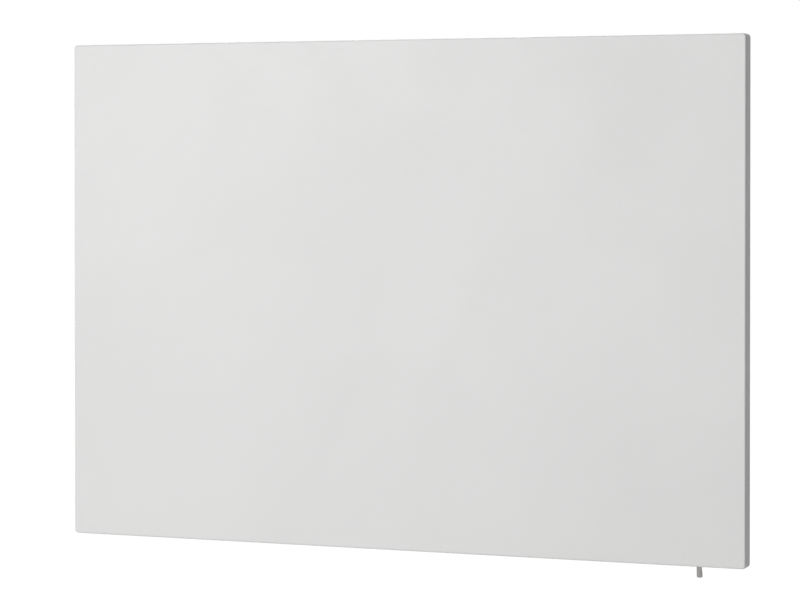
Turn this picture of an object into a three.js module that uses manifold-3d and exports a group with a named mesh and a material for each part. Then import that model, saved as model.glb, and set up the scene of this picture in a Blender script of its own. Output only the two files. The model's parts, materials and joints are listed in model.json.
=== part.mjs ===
// Infrared panel heater that hangs on a wall rail.
// Millimetres, +Z up. The wall is the plane y = 0 and the heater's front faces -Y.
// The origin is the centre of the wall rail's back face.
import * as THREE from 'three';
import { mergeVertices } from 'three/addons/utils/BufferGeometryUtils.js';
import Module from 'manifold-3d';

// ---------- Driving dimensions ----------

// Panel shell, one folded steel tray
const panelWidth = 850;
const panelHeight = 600;
const panelDepth = 20;
const panelSheet = 1;
const panelCornerRadius = 4.5;
const panelEdgeRadius = 2;
const flangeWidth = 16;
const windowCornerRadius = 6;

// Clearances
const seat = 0.1; // between pieces that lie or press on each other
const runningGap = 0.3; // between pieces that move or only pass each other
const holeClearance = 0.2; // radial, round a screw or a lead

// Heating pack, from the front sheet to the board
const packMargin = 2;
const insulatingSheetThickness = 0.4;
const filmThickness = 0.5;
const busbarWidth = 12;
const busbarThickness = 0.4;
const busbarInset = 10;
const foilThickness = 0.3;
const wiringSpace = 6;

// Thermal cut-out in the board
const cutoutRadius = 8;
const cutoutCapHeight = 4;
const cutoutStep = 0.6; // from the cap in to the body
const cutoutTabHeight = 2.6;
const cutoutTabWidth = 4;
const cutoutTabThickness = 0.8;
const cutoutTabSpacing = 9;
const cutoutSpacing = 82; // from the terminal box's centre
const bracketLength = 34;
const bracketWidth = 18;
const bracketThickness = 0.6;

// Rear cover
const coverSheet = 0.8;
const coverInset = 4;
const coverCornerRadius = 6;
const beadCount = 3;
const beadPitch = 78;
const beadEndInset = 95; // from the panel's side edge
const beadWidth = 16;
const beadHeight = 1.6;
const beadSlope = 3;

// Screws
const coverScrewRadius = 1.6;
const coverScrewLength = 6;
const coverScrewCornerInset = 22;
const hangerScrewRadius = 2;
const hangerScrewSpacing = 24;
const smallScrewRadius = 1.25;
const screwHeadRatio = 2;
const screwHeadHeightRatio = 1.25;
const screwCrownRatio = 0.7;
const screwShoulderRatio = 0.9;
const recessLengthRatio = 1.1;
const recessWidthRatio = 0.28;
const recessDepthRatio = 0.6;

// Wall rail
const railOverhang = 60; // past each hanger's centre
const railSheet = 2;
const railHeight = 44;
const railReach = 14;
const railLipHeight = 14;
const railBend = 1.5;
const railSlotLength = 14;
const railSlotWidth = 6.4;
const railSlotEndInset = 40;
const railInnerSlotSpacing = 150;
const notchDepth = 4;
const notchSideGap = 1;

// Hangers
const hangerSpacing = 440;
const hangerWidth = 40;
const hangerSheet = 2;
const hangerBend = 1.5;
const hangerFlangeHeight = 46;
const hookDrop = 10;
const backingPlateThickness = 2;
const backingPlateMargin = 3;
const panelRise = 110; // from the rail's centre to the panel's top edge

// Lower standoffs
const standoffInset = 125; // from the panel's side edge
const standoffRise = 110; // above the panel's lower edge
const standoffRadius = 12;
const standoffFootRadius = 15;
const standoffFootHeight = 3;
const standoffChamfer = 1;
const standoffBoreDepth = 12;
const padThickness = 3;
const padRimInset = 1;
const padRimChamfer = 0.8;
const padSpigotRadius = 4;
const padSpigotHeight = 4;
const standoffScrewRadius = 2;
const standoffScrewLength = 10;

// Terminal box
const boxWidth = 112;
const boxHeight = 62;
const boxDepth = 25;
const boxWall = 2;
const boxCornerRadius = 5;
const boxEdgeRise = 7; // above the panel's lower edge
const boxSideInset = 39; // from the panel's right edge
const bossRadius = 3.6;
const bossInset = 4.8;
const gasketThickness = 1;
const gasketInset = 0.4;
const lidThickness = 2.5;
const lidAirGap = 4; // between the lid and the wall
const boxScrewInsetX = 14;
const boxScrewInsetZ = 8;
const boxScrewLength = 5;
const boxScrewRadius = 1.6;

// Terminal block, three poles
const poleCount = 3;
const polePitch = 11;
const blockHeight = 16;
const blockDepth = 13;
const blockCornerRadius = 2;
const blockEdgeRadius = 0.6;
const poleBoreRadius = 2.2;
const poleBoreHeight = 6;
const poleWellRadius = 2.4;
const poleWellDepth = 4;
const poleWellOffset = 4;
const blockX = -12;
const blockZ = -6;
const cradleRibThickness = 1.5;
const cradleRibHeight = 4;

// Earth stud
const earthRadius = 2;
const earthStudLength = 12;
const earthNutAcross = 7;
const earthNutHeight = 3.2;
const earthX = -12;
const earthZ = 20;

// Cable inlet gland, thread M16
const glandThreadRadius = 8;
const glandAcross = 20;
const glandHexHeight = 4;
const glandCollarRadius = 7.7;
const glandCollarLength = 7;
const glandWall = 1.5;
const glandInnerLength = 8;
const glandBoreRadius = 4.8;
const glandCapHeight = 10;
const glandCapDome = 4;
const glandCapMouth = 4.6;
const glandCapMouthRim = 1.2;
const glandCapStep = 0.4; // the dome stands in from the flats
const glandCapSlope = 1.4; // the dome's rounding, in from the flats
const glandCapSlopeRatio = 3; // the dome's height over that rounding's
const sealBoreRadius = 3.9;
const sealChamfer = 1;
const locknutHeight = 3.5;
const glandZ = -6;

// Grommet and leads
const grommetRadius = 6;
const grommetFlange = 1.6;
const grommetLip = 1.2;
const grommetChamfer = 0.4;
const grommetWall = 1.2;
const grommetX = 14;
const grommetZ = 17;
const leadRadius = 1.2;
const leadHoleClearance = 1.2;
const leadSlotRatio = 6; // a slot's length over its hole's radius
const leadOffset = 1.7;
const leadSides = 8;
const leadSteps = 2; // between two points of a lead
const leadStraight = 5;
const longRun = 20;

// Toggle switch
const switchFromBoxSide = 25;
const switchBodyWidth = 15;
const switchBodyDepth = 22;
const switchBodyHeight = 18;
const switchTabHeight = 8;
const switchTabWidth = 4.8;
const switchTabThickness = 0.8;
const switchTabSpacing = 10;
const switchTabRoot = 1; // held in the body
const bushingRadius = 5.9;
const bushingBore = 3.6;
const bushingMouth = 4.9;
const bushingPlate = 1.5;
const bushingReach = 8.5;
const bushingFlare = 3;
const washerRadius = 8;
const washerThickness = 0.8;
const switchNutAcross = 14;
const switchNutHeight = 2.5;
const pivotDepth = 4; // below the box's underside
const leverLength = 20.3; // from the pivot to the tip
const leverNeckRadius = 2.3;
const leverRootRadius = 2.85;
const leverTipRadius = 3.45;
const leverTipRound = 1.3;
const leverBallStart = -0.5; // of a quarter turn
const leverBallSweep = 1.1; // of a quarter turn
const leverStubRadius = 1.5;
const leverStubLength = 5;
const leverThrow = 22; // degrees, from stop to stop

// Facets
const weldDistance = 1e-5; // corners of facets closer than this are one
const arcFacets = 2; // a quarter-round corner gets twice this many
const edgeFacets = 3;
const ballFacets = 6;
const turnFacets = 16;
const screwFacets = 10;

// ---------- Derived places ----------

const quarterTurn = Math.PI / 2;
const halfTurn = Math.PI;
const fullTurn = 2 * Math.PI;

const windowWidth = panelWidth - 2 * flangeWidth;
const windowHeight = panelHeight - 2 * flangeWidth;
const packWidth = windowWidth - 2 * packMargin;
const packHeight = windowHeight - 2 * packMargin;

// Rear cover's faces, from the return flange's outer face at local y = 0
const coverInner = seat;
const coverOuter = coverInner + coverSheet;
const mountFace = coverOuter + seat;

const lidSeat = boxDepth + seat + gasketThickness + seat;
const wallGap = mountFace + lidSeat + lidThickness + lidAirGap;
const panelCentreZ = panelRise - panelHeight / 2;

// Layers behind the front sheet, from the front
const insulatingSheetFront = panelSheet + seat;
const filmFront = insulatingSheetFront + insulatingSheetThickness + seat;
const busbarFront = filmFront + filmThickness + seat;
const foilFront = busbarFront + busbarThickness + seat;
const boardFront = foilFront + foilThickness + seat;
const boardRear = panelDepth - wiringSpace;
const boardThickness = boardRear - boardFront;
const busbarX = packWidth / 2 - busbarInset - busbarWidth / 2;
const wiringY = -wiringSpace / 2;

const boxX = panelWidth / 2 - boxSideInset - boxWidth / 2;
const boxZ = boxEdgeRise + boxHeight / 2 - panelHeight / 2;
const boxMidDepth = (boxWall + boxDepth) / 2;
const switchX = boxWidth / 2 - switchFromBoxSide;
const standoffX = panelWidth / 2 - standoffInset;
const standoffZ = standoffRise - panelHeight / 2;
const beadLength = panelWidth - 2 * beadEndInset;
const railLength = hangerSpacing + 2 * railOverhang;
const railSlotSpacings = [railInnerSlotSpacing, railLength - 2 * railSlotEndInset];
const hookRestZ = railHeight / 2 + railLipHeight - notchDepth + seat;

// ---------- Materials ----------

function finish(color, roughness, metalness) {
  return new THREE.MeshStandardMaterial({ color, roughness, metalness });
}

const powderWhite = () => finish(0xe6e6e5, 0.45, 0);
const galvanised = () => finish(0xb4b8ba, 0.4, 0.9);
const zincPlated = () => finish(0xc8cacc, 0.3, 1);
const nickelPlated = () => finish(0xd2d2d0, 0.18, 1);
const copper = () => finish(0xb87346, 0.35, 1);
const bareAluminium = () => finish(0xc9cccf, 0.3, 1);
const mouldedGrey = () => finish(0xcfd0cf, 0.5, 0);
const mouldedBlack = () => finish(0x1c1c1d, 0.5, 0);
const blackRubber = () => finish(0x161616, 0.85, 0);
const fibreBoard = () => finish(0xd9d2bd, 0.95, 0);
const amberFilm = () => finish(0xb0752c, 0.35, 0);
const carbonFilm = () => finish(0x242426, 0.6, 0);
const ceramic = () => finish(0xf0ece2, 0.35, 0);

// ---------- Geometry helpers ----------

const wasm = await Module();
wasm.setup();

function toSolid(geometry) {
  const bare = geometry.clone();
  bare.deleteAttribute('normal');
  bare.deleteAttribute('uv');
  const welded = mergeVertices(bare, weldDistance);
  const corners = welded.index.array;
  const kept = [];
  for (let i = 0; i < corners.length; i += 3) {
    const [a, b, c] = [corners[i], corners[i + 1], corners[i + 2]];
    if (a !== b && b !== c && c !== a) kept.push(a, b, c);
  }
  const vertProperties = new Float32Array(welded.attributes.position.array);
  const triVerts = new Uint32Array(kept);
  return new wasm.Manifold(new wasm.Mesh({ numProp: 3, vertProperties, triVerts }));
}

function toGeometry(solid) {
  const mesh = solid.getMesh();
  const geometry = new THREE.BufferGeometry();
  geometry.setAttribute('position', new THREE.BufferAttribute(mesh.vertProperties.slice(), 3));
  geometry.setIndex(new THREE.BufferAttribute(mesh.triVerts.slice(), 1));
  const faceted = geometry.toNonIndexed();
  faceted.computeVertexNormals();
  return faceted;
}

function join(first, ...others) {
  return toGeometry(others.reduce((solid, other) => solid.add(toSolid(other)), toSolid(first)));
}

function cut(first, ...tools) {
  return toGeometry(tools.reduce((solid, tool) => solid.subtract(toSolid(tool)), toSolid(first)));
}

function block(width, depth, height, x = 0, y = 0, z = 0) {
  return new THREE.BoxGeometry(width, depth, height).translate(x, y, z);
}

// A round bar along Y that starts at the given y
function barAlongY(radius, length, x = 0, y = 0, z = 0, facets = screwFacets) {
  return new THREE.CylinderGeometry(radius, radius, length, facets).translate(x, y + length / 2, z);
}

function barAlongX(radius, length, x = 0, y = 0, z = 0, facets = turnFacets) {
  return barAlongY(radius, length, 0, 0, 0, facets).rotateZ(-quarterTurn).translate(x, y, z);
}

function barAlongZ(radius, length, x = 0, y = 0, z = 0, facets = turnFacets) {
  return barAlongY(radius, length, 0, 0, 0, facets).rotateX(quarterTurn).translate(x, y, z);
}

function roundedRect(width, height, radius) {
  const right = width / 2 - radius;
  const top = height / 2 - radius;
  const shape = new THREE.Shape();
  shape.absarc(right, -top, radius, -quarterTurn, 0);
  shape.absarc(right, top, radius, 0, quarterTurn);
  shape.absarc(-right, top, radius, quarterTurn, halfTurn);
  shape.absarc(-right, -top, radius, halfTurn, halfTurn + quarterTurn);
  return shape;
}

// A full circle as four quarter arcs, so that it gets as many facets as four corners
function addCircle(path, x, y, radius, clockwise) {
  const step = clockwise ? -quarterTurn : quarterTurn;
  for (let i = 0; i < 4; i += 1) {
    path.absarc(x, y, radius, i * step, (i + 1) * step, clockwise);
  }
  return path;
}

function roundHole(x, y, radius) {
  return addCircle(new THREE.Path(), x, y, radius, true);
}

function ring(outerRadius, innerRadius, thickness) {
  const shape = addCircle(new THREE.Shape(), 0, 0, outerRadius, false);
  shape.holes.push(roundHole(0, 0, innerRadius));
  return plate(shape, thickness);
}

function hexagon(across) {
  const radius = across / Math.sqrt(3);
  const corners = [];
  for (let i = 0; i < 6; i += 1) {
    const angle = ((i + 0.5) * fullTurn) / 6;
    corners.push(new THREE.Vector2(radius * Math.cos(angle), radius * Math.sin(angle)));
  }
  return new THREE.Shape(corners);
}

// A closed outline through [x, y, radius] corners, each with its own fillet
function filletedOutline(corners) {
  const points = [];
  corners.forEach(([x, y, radius], index) => {
    const corner = new THREE.Vector2(x, y);
    if (!radius) {
      points.push(corner);
      return;
    }
    const last = corners[(index + corners.length - 1) % corners.length];
    const next = corners[(index + 1) % corners.length];
    const toLast = new THREE.Vector2(last[0], last[1]).sub(corner).normalize();
    const toNext = new THREE.Vector2(next[0], next[1]).sub(corner).normalize();
    const halfAngle = Math.acos(toLast.dot(toNext)) / 2;
    const reach = radius / Math.tan(halfAngle);
    const bisector = toLast.clone().add(toNext).normalize();
    const centre = corner.clone().addScaledVector(bisector, radius / Math.sin(halfAngle));
    const start = corner.clone().addScaledVector(toLast, reach).sub(centre).angle();
    const end = corner.clone().addScaledVector(toNext, reach).sub(centre).angle();
    const clockwise = toLast.cross(toNext) > 0;
    const arc = new THREE.EllipseCurve(centre.x, centre.y, radius, radius, start, end, clockwise);
    points.push(...arc.getPoints(2 * arcFacets));
  });
  return new THREE.Shape(points);
}

// A flat plate in the XZ plane, from y = 0 to y = thickness
function plate(shape, thickness) {
  const geometry = new THREE.ExtrudeGeometry(shape, {
    depth: thickness, bevelEnabled: false, curveSegments: arcFacets,
  });
  return geometry.rotateX(quarterTurn).translate(0, thickness, 0);
}

// A rounded slab in the XZ plane, from y = 0 to y = depth, with rounded edges
function roundedSlab(width, height, depth, cornerRadius, edgeRadius, bevelSegments = edgeFacets) {
  const outline = roundedRect(width - 2 * edgeRadius, height - 2 * edgeRadius,
    cornerRadius - edgeRadius);
  const geometry = new THREE.ExtrudeGeometry(outline, {
    depth: depth - 2 * edgeRadius,
    bevelSize: edgeRadius,
    bevelThickness: edgeRadius,
    bevelSegments,
    curveSegments: arcFacets,
  });
  return geometry.rotateX(quarterTurn).translate(0, depth - edgeRadius, 0);
}

// A profile drawn in Y and Z, drawn out along X about x = 0
function alongX(shape, length) {
  const geometry = new THREE.ExtrudeGeometry(shape, {
    depth: length, bevelEnabled: false, curveSegments: arcFacets,
  });
  const axes = new THREE.Matrix4().makeBasis(
    new THREE.Vector3(0, 1, 0), new THREE.Vector3(0, 0, 1), new THREE.Vector3(1, 0, 0));
  return geometry.translate(0, 0, -length / 2).applyMatrix4(axes);
}

// A turned piece about Y, its profile given as [radius, y] from the bottom up
function turned(profile, facets = turnFacets) {
  return new THREE.LatheGeometry(profile.map(([radius, y]) => new THREE.Vector2(radius, y)), facets);
}

// A pan head screw along Y: its head stands up from y = 0 and its shank goes down
function panScrew(radius, length) {
  const headRadius = screwHeadRatio * radius;
  const headHeight = screwHeadHeightRatio * radius;
  const body = turned([
    [0, -length],
    [radius / 2, -length],
    [radius, radius - length],
    [radius, 0],
    [headRadius, 0],
    [headRadius, headHeight / 2],
    [screwCrownRatio * headRadius, screwShoulderRatio * headHeight],
    [0, headHeight],
  ], screwFacets);
  const slotLength = recessLengthRatio * headRadius;
  const slotWidth = recessWidthRatio * headRadius;
  const slotDepth = recessDepthRatio * headHeight;
  return cut(body,
    block(slotLength, 2 * slotDepth, slotWidth, 0, headHeight, 0),
    block(slotWidth, 2 * slotDepth, slotLength, 0, headHeight, 0));
}

function hexNut(across, height, holeRadius) {
  const shape = hexagon(across);
  shape.holes.push(roundHole(0, 0, holeRadius));
  return plate(shape, height);
}

// A smooth curve that is divided between its points, so that its bends get as many
// steps as its long runs
class LeadRoute extends THREE.CatmullRomCurve3 {
  getUtoTmapping(u) {
    return u;
  }
}

// Points near both ends of a long run keep it straight
function withStraightRuns(points) {
  const route = [points[0]];
  for (let i = 1; i < points.length; i += 1) {
    const [from, to] = [points[i - 1], points[i]];
    const run = from.distanceTo(to);
    if (run > longRun) {
      route.push(from.clone().lerp(to, leadStraight / run));
      route.push(to.clone().lerp(from, leadStraight / run));
    }
    route.push(to);
  }
  return route;
}

function lead(points) {
  const circle = new THREE.Shape();
  circle.absarc(0, 0, leadRadius, 0, fullTurn);
  const route = withStraightRuns(points.map((point) => new THREE.Vector3(...point)));
  return new THREE.ExtrudeGeometry(circle, {
    steps: leadSteps * (route.length - 1),
    curveSegments: leadSides / 2,
    extrudePath: new LeadRoute(route),
  });
}

function add(parent, name, geometry, material, x = 0, y = 0, z = 0) {
  const mesh = new THREE.Mesh(geometry, material);
  mesh.name = name;
  mesh.position.set(x, y, z);
  parent.add(mesh);
  return mesh;
}

function group(parent, x = 0, y = 0, z = 0) {
  const made = new THREE.Group();
  made.position.set(x, y, z);
  if (parent) parent.add(made);
  return made;
}

const sides = [['left', -1], ['right', 1]];

// ---------- Wall rail ----------

function makeWallRail() {
  const inner = railBend;
  const outer = railBend + railSheet;
  const top = railHeight / 2;
  const bottom = -railHeight / 2;
  const lipTop = top + railLipHeight;
  const profile = alongX(filletedOutline([
    [0, bottom, 0],
    [0, top, outer],
    [railSheet - railReach, top, inner],
    [railSheet - railReach, lipTop, 0],
    [-railReach, lipTop, 0],
    [-railReach, top - railSheet, outer],
    [-railSheet, top - railSheet, inner],
    [-railSheet, bottom, 0],
  ]), railLength);
  const cuts = [];
  const notchWidth = hangerWidth + 2 * notchSideGap;
  for (const [, side] of sides) {
    const x = (side * hangerSpacing) / 2;
    cuts.push(block(notchWidth, 3 * railSheet, 2 * notchDepth, x, railSheet / 2 - railReach, lipTop));
    for (const spacing of railSlotSpacings) {
      const slot = roundedRect(railSlotLength, railSlotWidth, railSlotWidth / 2);
      cuts.push(plate(slot, 3 * railSheet).translate((side * spacing) / 2, -2 * railSheet, 0));
    }
  }
  return cut(profile, ...cuts);
}

// ---------- Panel shell ----------

function coverScrewPlaces() {
  const x = panelWidth / 2 - flangeWidth / 2 - panelSheet / 2;
  const z = panelHeight / 2 - flangeWidth / 2 - panelSheet / 2;
  const cornerX = panelWidth / 2 - coverScrewCornerInset;
  return [
    [-cornerX, z], [0, z], [cornerX, z],
    [x, 0],
    [cornerX, -z], [0, -z], [-cornerX, -z],
    [-x, 0],
  ];
}

function makeFrontPanel() {
  const outer = roundedSlab(panelWidth, panelHeight, panelDepth, panelCornerRadius,
    panelEdgeRadius).translate(0, -panelDepth, 0);
  const hollow = roundedSlab(panelWidth - 2 * panelSheet, panelHeight - 2 * panelSheet,
    panelDepth - 2 * panelSheet, panelCornerRadius - panelSheet,
    panelEdgeRadius - panelSheet).translate(0, panelSheet - panelDepth, 0);
  const window = plate(roundedRect(windowWidth, windowHeight, windowCornerRadius),
    3 * panelSheet).translate(0, -2 * panelSheet, 0);
  const holes = coverScrewPlaces().map(([x, z]) => barAlongY(
    coverScrewRadius + holeClearance, 3 * panelSheet, x, -2 * panelSheet, z));
  return cut(outer, hollow, window, ...holes);
}

function hangerScrewPlaces(side) {
  const x = (side * hangerSpacing) / 2;
  return [x - hangerScrewSpacing / 2, x + hangerScrewSpacing / 2];
}

const hangerTopZ = hookRestZ + hangerSheet - panelCentreZ;
const hangerScrewZ = hangerTopZ - hangerSheet - (hangerFlangeHeight - hangerSheet) / 2;

function makeRearCover() {
  const shape = roundedRect(panelWidth - 2 * coverInset, panelHeight - 2 * coverInset,
    coverCornerRadius);
  const sheet = plate(shape, coverSheet);
  const beads = [];
  const grooves = [];
  for (let i = 0; i < beadCount; i += 1) {
    const z = (i - (beadCount - 1) / 2) * beadPitch;
    beads.push(alongX(beadOutline(z, 0, coverSheet, beadHeight + coverSheet), beadLength));
    grooves.push(alongX(beadOutline(z, coverSheet, -coverSheet, beadHeight),
      beadLength - 2 * coverSheet));
  }
  const holes = coverScrewPlaces().map(([x, z]) => [x, z, coverScrewRadius]);
  for (const [, side] of sides) {
    hangerScrewPlaces(side).forEach((x) => holes.push([x, hangerScrewZ, hangerScrewRadius]));
    holes.push([side * standoffX, standoffZ, standoffScrewRadius]);
  }
  boxScrewPlaces().forEach(([x, z]) => holes.push([boxX + x, boxZ + z, boxScrewRadius]));
  const drills = holes.map(([x, z, radius]) => barAlongY(
    radius + holeClearance, 4 * coverSheet, x, -coverSheet, z));
  drills.push(barAlongY(grommetRadius + holeClearance, 4 * coverSheet, boxX + grommetX,
    -coverSheet, boxZ + grommetZ, turnFacets));
  return cut(join(sheet, ...beads), ...grooves, ...drills);
}

// The trapezium of a stiffening bead, from y = low to y = high
function beadOutline(z, inset, low, high) {
  const foot = beadWidth / 2 - inset;
  const crown = foot - beadSlope;
  return filletedOutline([
    [low, z - foot, 0],
    [high, z - crown, 0],
    [high, z + crown, 0],
    [low, z + foot, 0],
  ]);
}

// ---------- Heating pack ----------

function busbarLeadPlaces() {
  return sides.map(([, side]) => [side * busbarX, boxZ + grommetZ]);
}

const cutoutX = boxX - cutoutSpacing;
const cutoutZ = boxZ + grommetZ;
const leadHoleRadius = leadRadius + leadHoleClearance;
const leadSlotLength = leadSlotRatio * leadHoleRadius;

function packSheet(thickness) {
  return plate(roundedRect(packWidth, packHeight, windowCornerRadius - packMargin), thickness);
}

function makeFoil() {
  const holes = busbarLeadPlaces().map(([x, z]) => barAlongY(
    leadHoleRadius, 3 * foilThickness, x, -foilThickness, z));
  return cut(packSheet(foilThickness), ...holes);
}

// The board has a slot for each busbar lead, long enough for the lead to bend down in it
function makeBoard() {
  const deep = 2 * boardThickness;
  const slots = busbarLeadPlaces().map(([x, z]) => {
    const towardCentre = -Math.sign(x) * (leadSlotLength / 2 - leadHoleRadius);
    return plate(roundedRect(leadSlotLength, 2 * leadHoleRadius, leadHoleRadius), deep)
      .translate(x + towardCentre, -boardThickness / 2, z);
  });
  const well = barAlongY(cutoutRadius + runningGap, deep, cutoutX, -boardThickness / 2, cutoutZ,
    turnFacets);
  return cut(packSheet(boardThickness), ...slots, well);
}

// The bimetal disc's cap faces the foil, and its two tabs stand in the wiring space
function makeCutout() {
  const body = turned([
    [0, 0],
    [cutoutRadius, 0],
    [cutoutRadius, cutoutCapHeight],
    [cutoutRadius - cutoutStep, cutoutCapHeight + cutoutStep],
    [cutoutRadius - cutoutStep, boardThickness + bracketThickness + seat],
    [0, boardThickness + bracketThickness + seat],
  ]);
  const top = boardThickness + bracketThickness;
  const tabs = [-1, 1].map((side) => block(cutoutTabThickness, cutoutTabHeight, cutoutTabWidth,
    (side * cutoutTabSpacing) / 2, top + cutoutTabHeight / 2, 0));
  return join(body, ...tabs);
}

function makeBracket() {
  const shape = roundedRect(bracketLength, bracketWidth, bracketWidth / 4);
  shape.holes.push(roundHole(0, 0, cutoutRadius - cutoutStep + runningGap));
  return plate(shape, bracketThickness);
}

// ---------- Hangers and standoffs ----------

// Drawn in the panel's own frame, whose y = 0 is the return flange's outer face
function makeHanger() {
  const inner = hangerBend;
  const outer = hangerBend + hangerSheet;
  const legFront = wallGap - railReach + railSheet + hangerBend + runningGap;
  const legRear = legFront + hangerSheet;
  const webTop = hangerTopZ;
  const webUnder = hangerTopZ - hangerSheet;
  const hanger = alongX(filletedOutline([
    [mountFace, webTop - hangerFlangeHeight, 0],
    [mountFace + hangerSheet, webTop - hangerFlangeHeight, 0],
    [mountFace + hangerSheet, webUnder, inner],
    [legFront, webUnder, inner],
    [legFront, webUnder - hookDrop, 0],
    [legRear, webUnder - hookDrop, 0],
    [legRear, webTop, outer],
    [mountFace, webTop, outer],
  ]), hangerWidth);
  const holes = [-1, 1].map((side) => barAlongY(hangerScrewRadius + holeClearance,
    3 * hangerSheet, (side * hangerScrewSpacing) / 2, mountFace - hangerSheet, hangerScrewZ));
  return cut(hanger, ...holes);
}

const hangerScrewSeat = mountFace + hangerSheet + seat;
const backingPlateRear = coverInner - seat;

function makeBackingPlate() {
  const width = hangerScrewSpacing + 4 * hangerScrewRadius + 2 * backingPlateMargin;
  const height = 4 * hangerScrewRadius + 2 * backingPlateMargin;
  const shape = roundedRect(width, height, backingPlateMargin);
  for (const side of [-1, 1]) {
    shape.holes.push(roundHole((side * hangerScrewSpacing) / 2, 0,
      hangerScrewRadius + holeClearance));
  }
  return plate(shape, backingPlateThickness);
}

const standoffLength = wallGap - mountFace - padThickness - seat;

function makeStandoff() {
  return turned([
    [standoffScrewRadius + holeClearance, 0],
    [standoffFootRadius, 0],
    [standoffFootRadius, standoffFootHeight - standoffChamfer],
    [standoffFootRadius - standoffChamfer, standoffFootHeight],
    [standoffRadius, standoffFootHeight],
    [standoffRadius - standoffChamfer, standoffLength - standoffChamfer],
    [standoffRadius - 2 * standoffChamfer, standoffLength],
    [padSpigotRadius + holeClearance, standoffLength],
    [padSpigotRadius + holeClearance, standoffLength - padSpigotHeight - seat],
    [0, standoffLength - padSpigotHeight - seat],
    [0, standoffBoreDepth],
    [standoffScrewRadius + holeClearance, standoffBoreDepth],
    [standoffScrewRadius + holeClearance, 0],
  ]);
}

// The pad's spigot plugs into the standoff and its face touches the wall
function makePad() {
  return turned([
    [0, -padSpigotHeight],
    [padSpigotRadius, -padSpigotHeight],
    [padSpigotRadius, 0],
    [standoffRadius - padRimInset - standoffChamfer, 0],
    [standoffRadius - padRimInset, padRimChamfer],
    [standoffRadius - padRimInset, padThickness - padRimChamfer],
    [standoffRadius - padRimInset - padRimChamfer, padThickness],
    [0, padThickness],
  ]);
}

// ---------- Terminal box ----------

function bossPlaces() {
  const x = boxWidth / 2 - bossInset;
  const z = boxHeight / 2 - bossInset;
  return [[-x, z], [x, z], [x, -z], [-x, -z]];
}

function boxScrewPlaces() {
  const z = boxHeight / 2 - boxScrewInsetZ;
  return sides.map(([, side]) => [side * (boxWidth / 2 - boxScrewInsetX), z]);
}

function makeBox() {
  const shell = cut(
    plate(roundedRect(boxWidth, boxHeight, boxCornerRadius), boxDepth),
    plate(roundedRect(boxWidth - 2 * boxWall, boxHeight - 2 * boxWall, boxCornerRadius - boxWall),
      boxDepth).translate(0, boxWall, 0));
  const bosses = bossPlaces().map(([x, z]) => barAlongY(
    bossRadius, boxDepth - boxWall / 2, x, boxWall / 2, z, turnFacets));
  const ribs = [-1, 1].map((side) => block(
    cradleRibThickness, cradleRibHeight + boxWall, blockHeight,
    blockX + side * (blockWidth / 2 + runningGap + cradleRibThickness / 2),
    (cradleRibHeight + boxWall) / 2, blockZ));
  const holes = bossPlaces().map(([x, z]) => barAlongY(
    smallScrewRadius + holeClearance, boxDepth, x, boxWall, z));
  boxScrewPlaces().forEach(([x, z]) => holes.push(barAlongY(
    boxScrewRadius + holeClearance, 3 * boxWall, x, -boxWall, z)));
  holes.push(barAlongY(earthRadius + holeClearance, 3 * boxWall, earthX, -boxWall, earthZ));
  holes.push(barAlongY(grommetRadius + holeClearance, 3 * boxWall, grommetX, -boxWall,
    grommetZ, turnFacets));
  holes.push(barAlongX(glandThreadRadius + holeClearance, 3 * boxWall,
    -boxWidth / 2 - boxWall, boxMidDepth, glandZ));
  holes.push(barAlongZ(bushingRadius + holeClearance, 3 * boxWall, switchX, boxMidDepth,
    -boxHeight / 2 - boxWall));
  return cut(join(shell, ...bosses, ...ribs), ...holes);
}

function makeGasket() {
  const outer = boxWidth - 2 * gasketInset;
  const shape = roundedRect(outer, boxHeight - 2 * gasketInset, boxCornerRadius - gasketInset);
  const inside = plate(roundedRect(boxWidth - 2 * boxWall, boxHeight - 2 * boxWall,
    boxCornerRadius - boxWall), 3 * gasketThickness).translate(0, -gasketThickness, 0);
  return cut(plate(shape, gasketThickness), inside);
}

function makeLid() {
  const edge = lidThickness / 4;
  const slab = roundedSlab(boxWidth, boxHeight, lidThickness, boxCornerRadius, edge, 1);
  const holes = bossPlaces().map(([x, z]) => barAlongY(
    smallScrewRadius + holeClearance, 3 * lidThickness, x, -lidThickness, z));
  return cut(slab, ...holes);
}

const blockWidth = poleCount * polePitch;

function poleX(index) {
  return blockX + (index - (poleCount - 1) / 2) * polePitch;
}

function makeTerminalBlock() {
  const body = roundedSlab(blockWidth, blockHeight, blockDepth, blockCornerRadius,
    blockEdgeRadius, 1);
  const cuts = [];
  for (let i = 0; i < poleCount; i += 1) {
    const x = poleX(i) - blockX;
    cuts.push(barAlongZ(poleBoreRadius, 2 * blockHeight, x, poleBoreHeight, -blockHeight,
      screwFacets));
    for (const side of [-1, 1]) {
      cuts.push(barAlongY(poleWellRadius, 2 * poleWellDepth, x, blockDepth - poleWellDepth,
        side * poleWellOffset));
    }
  }
  return cut(body, ...cuts);
}

// The rubber grommet lines the hole through the box and the rear cover
function makeGrommet() {
  const low = coverInner - mountFace;
  const rim = boxWall + seat;
  return turned([
    [grommetRadius - grommetWall, low],
    [grommetRadius, low],
    [grommetRadius, rim],
    [grommetRadius + grommetFlange, rim],
    [grommetRadius + grommetFlange - grommetChamfer, rim + grommetLip],
    [grommetRadius - grommetWall, rim + grommetLip],
    [grommetRadius - grommetWall, low],
  ]);
}

// ---------- Cable inlet gland: +Y is outwards, y = 0 is the box wall's outer face ----------

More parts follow.
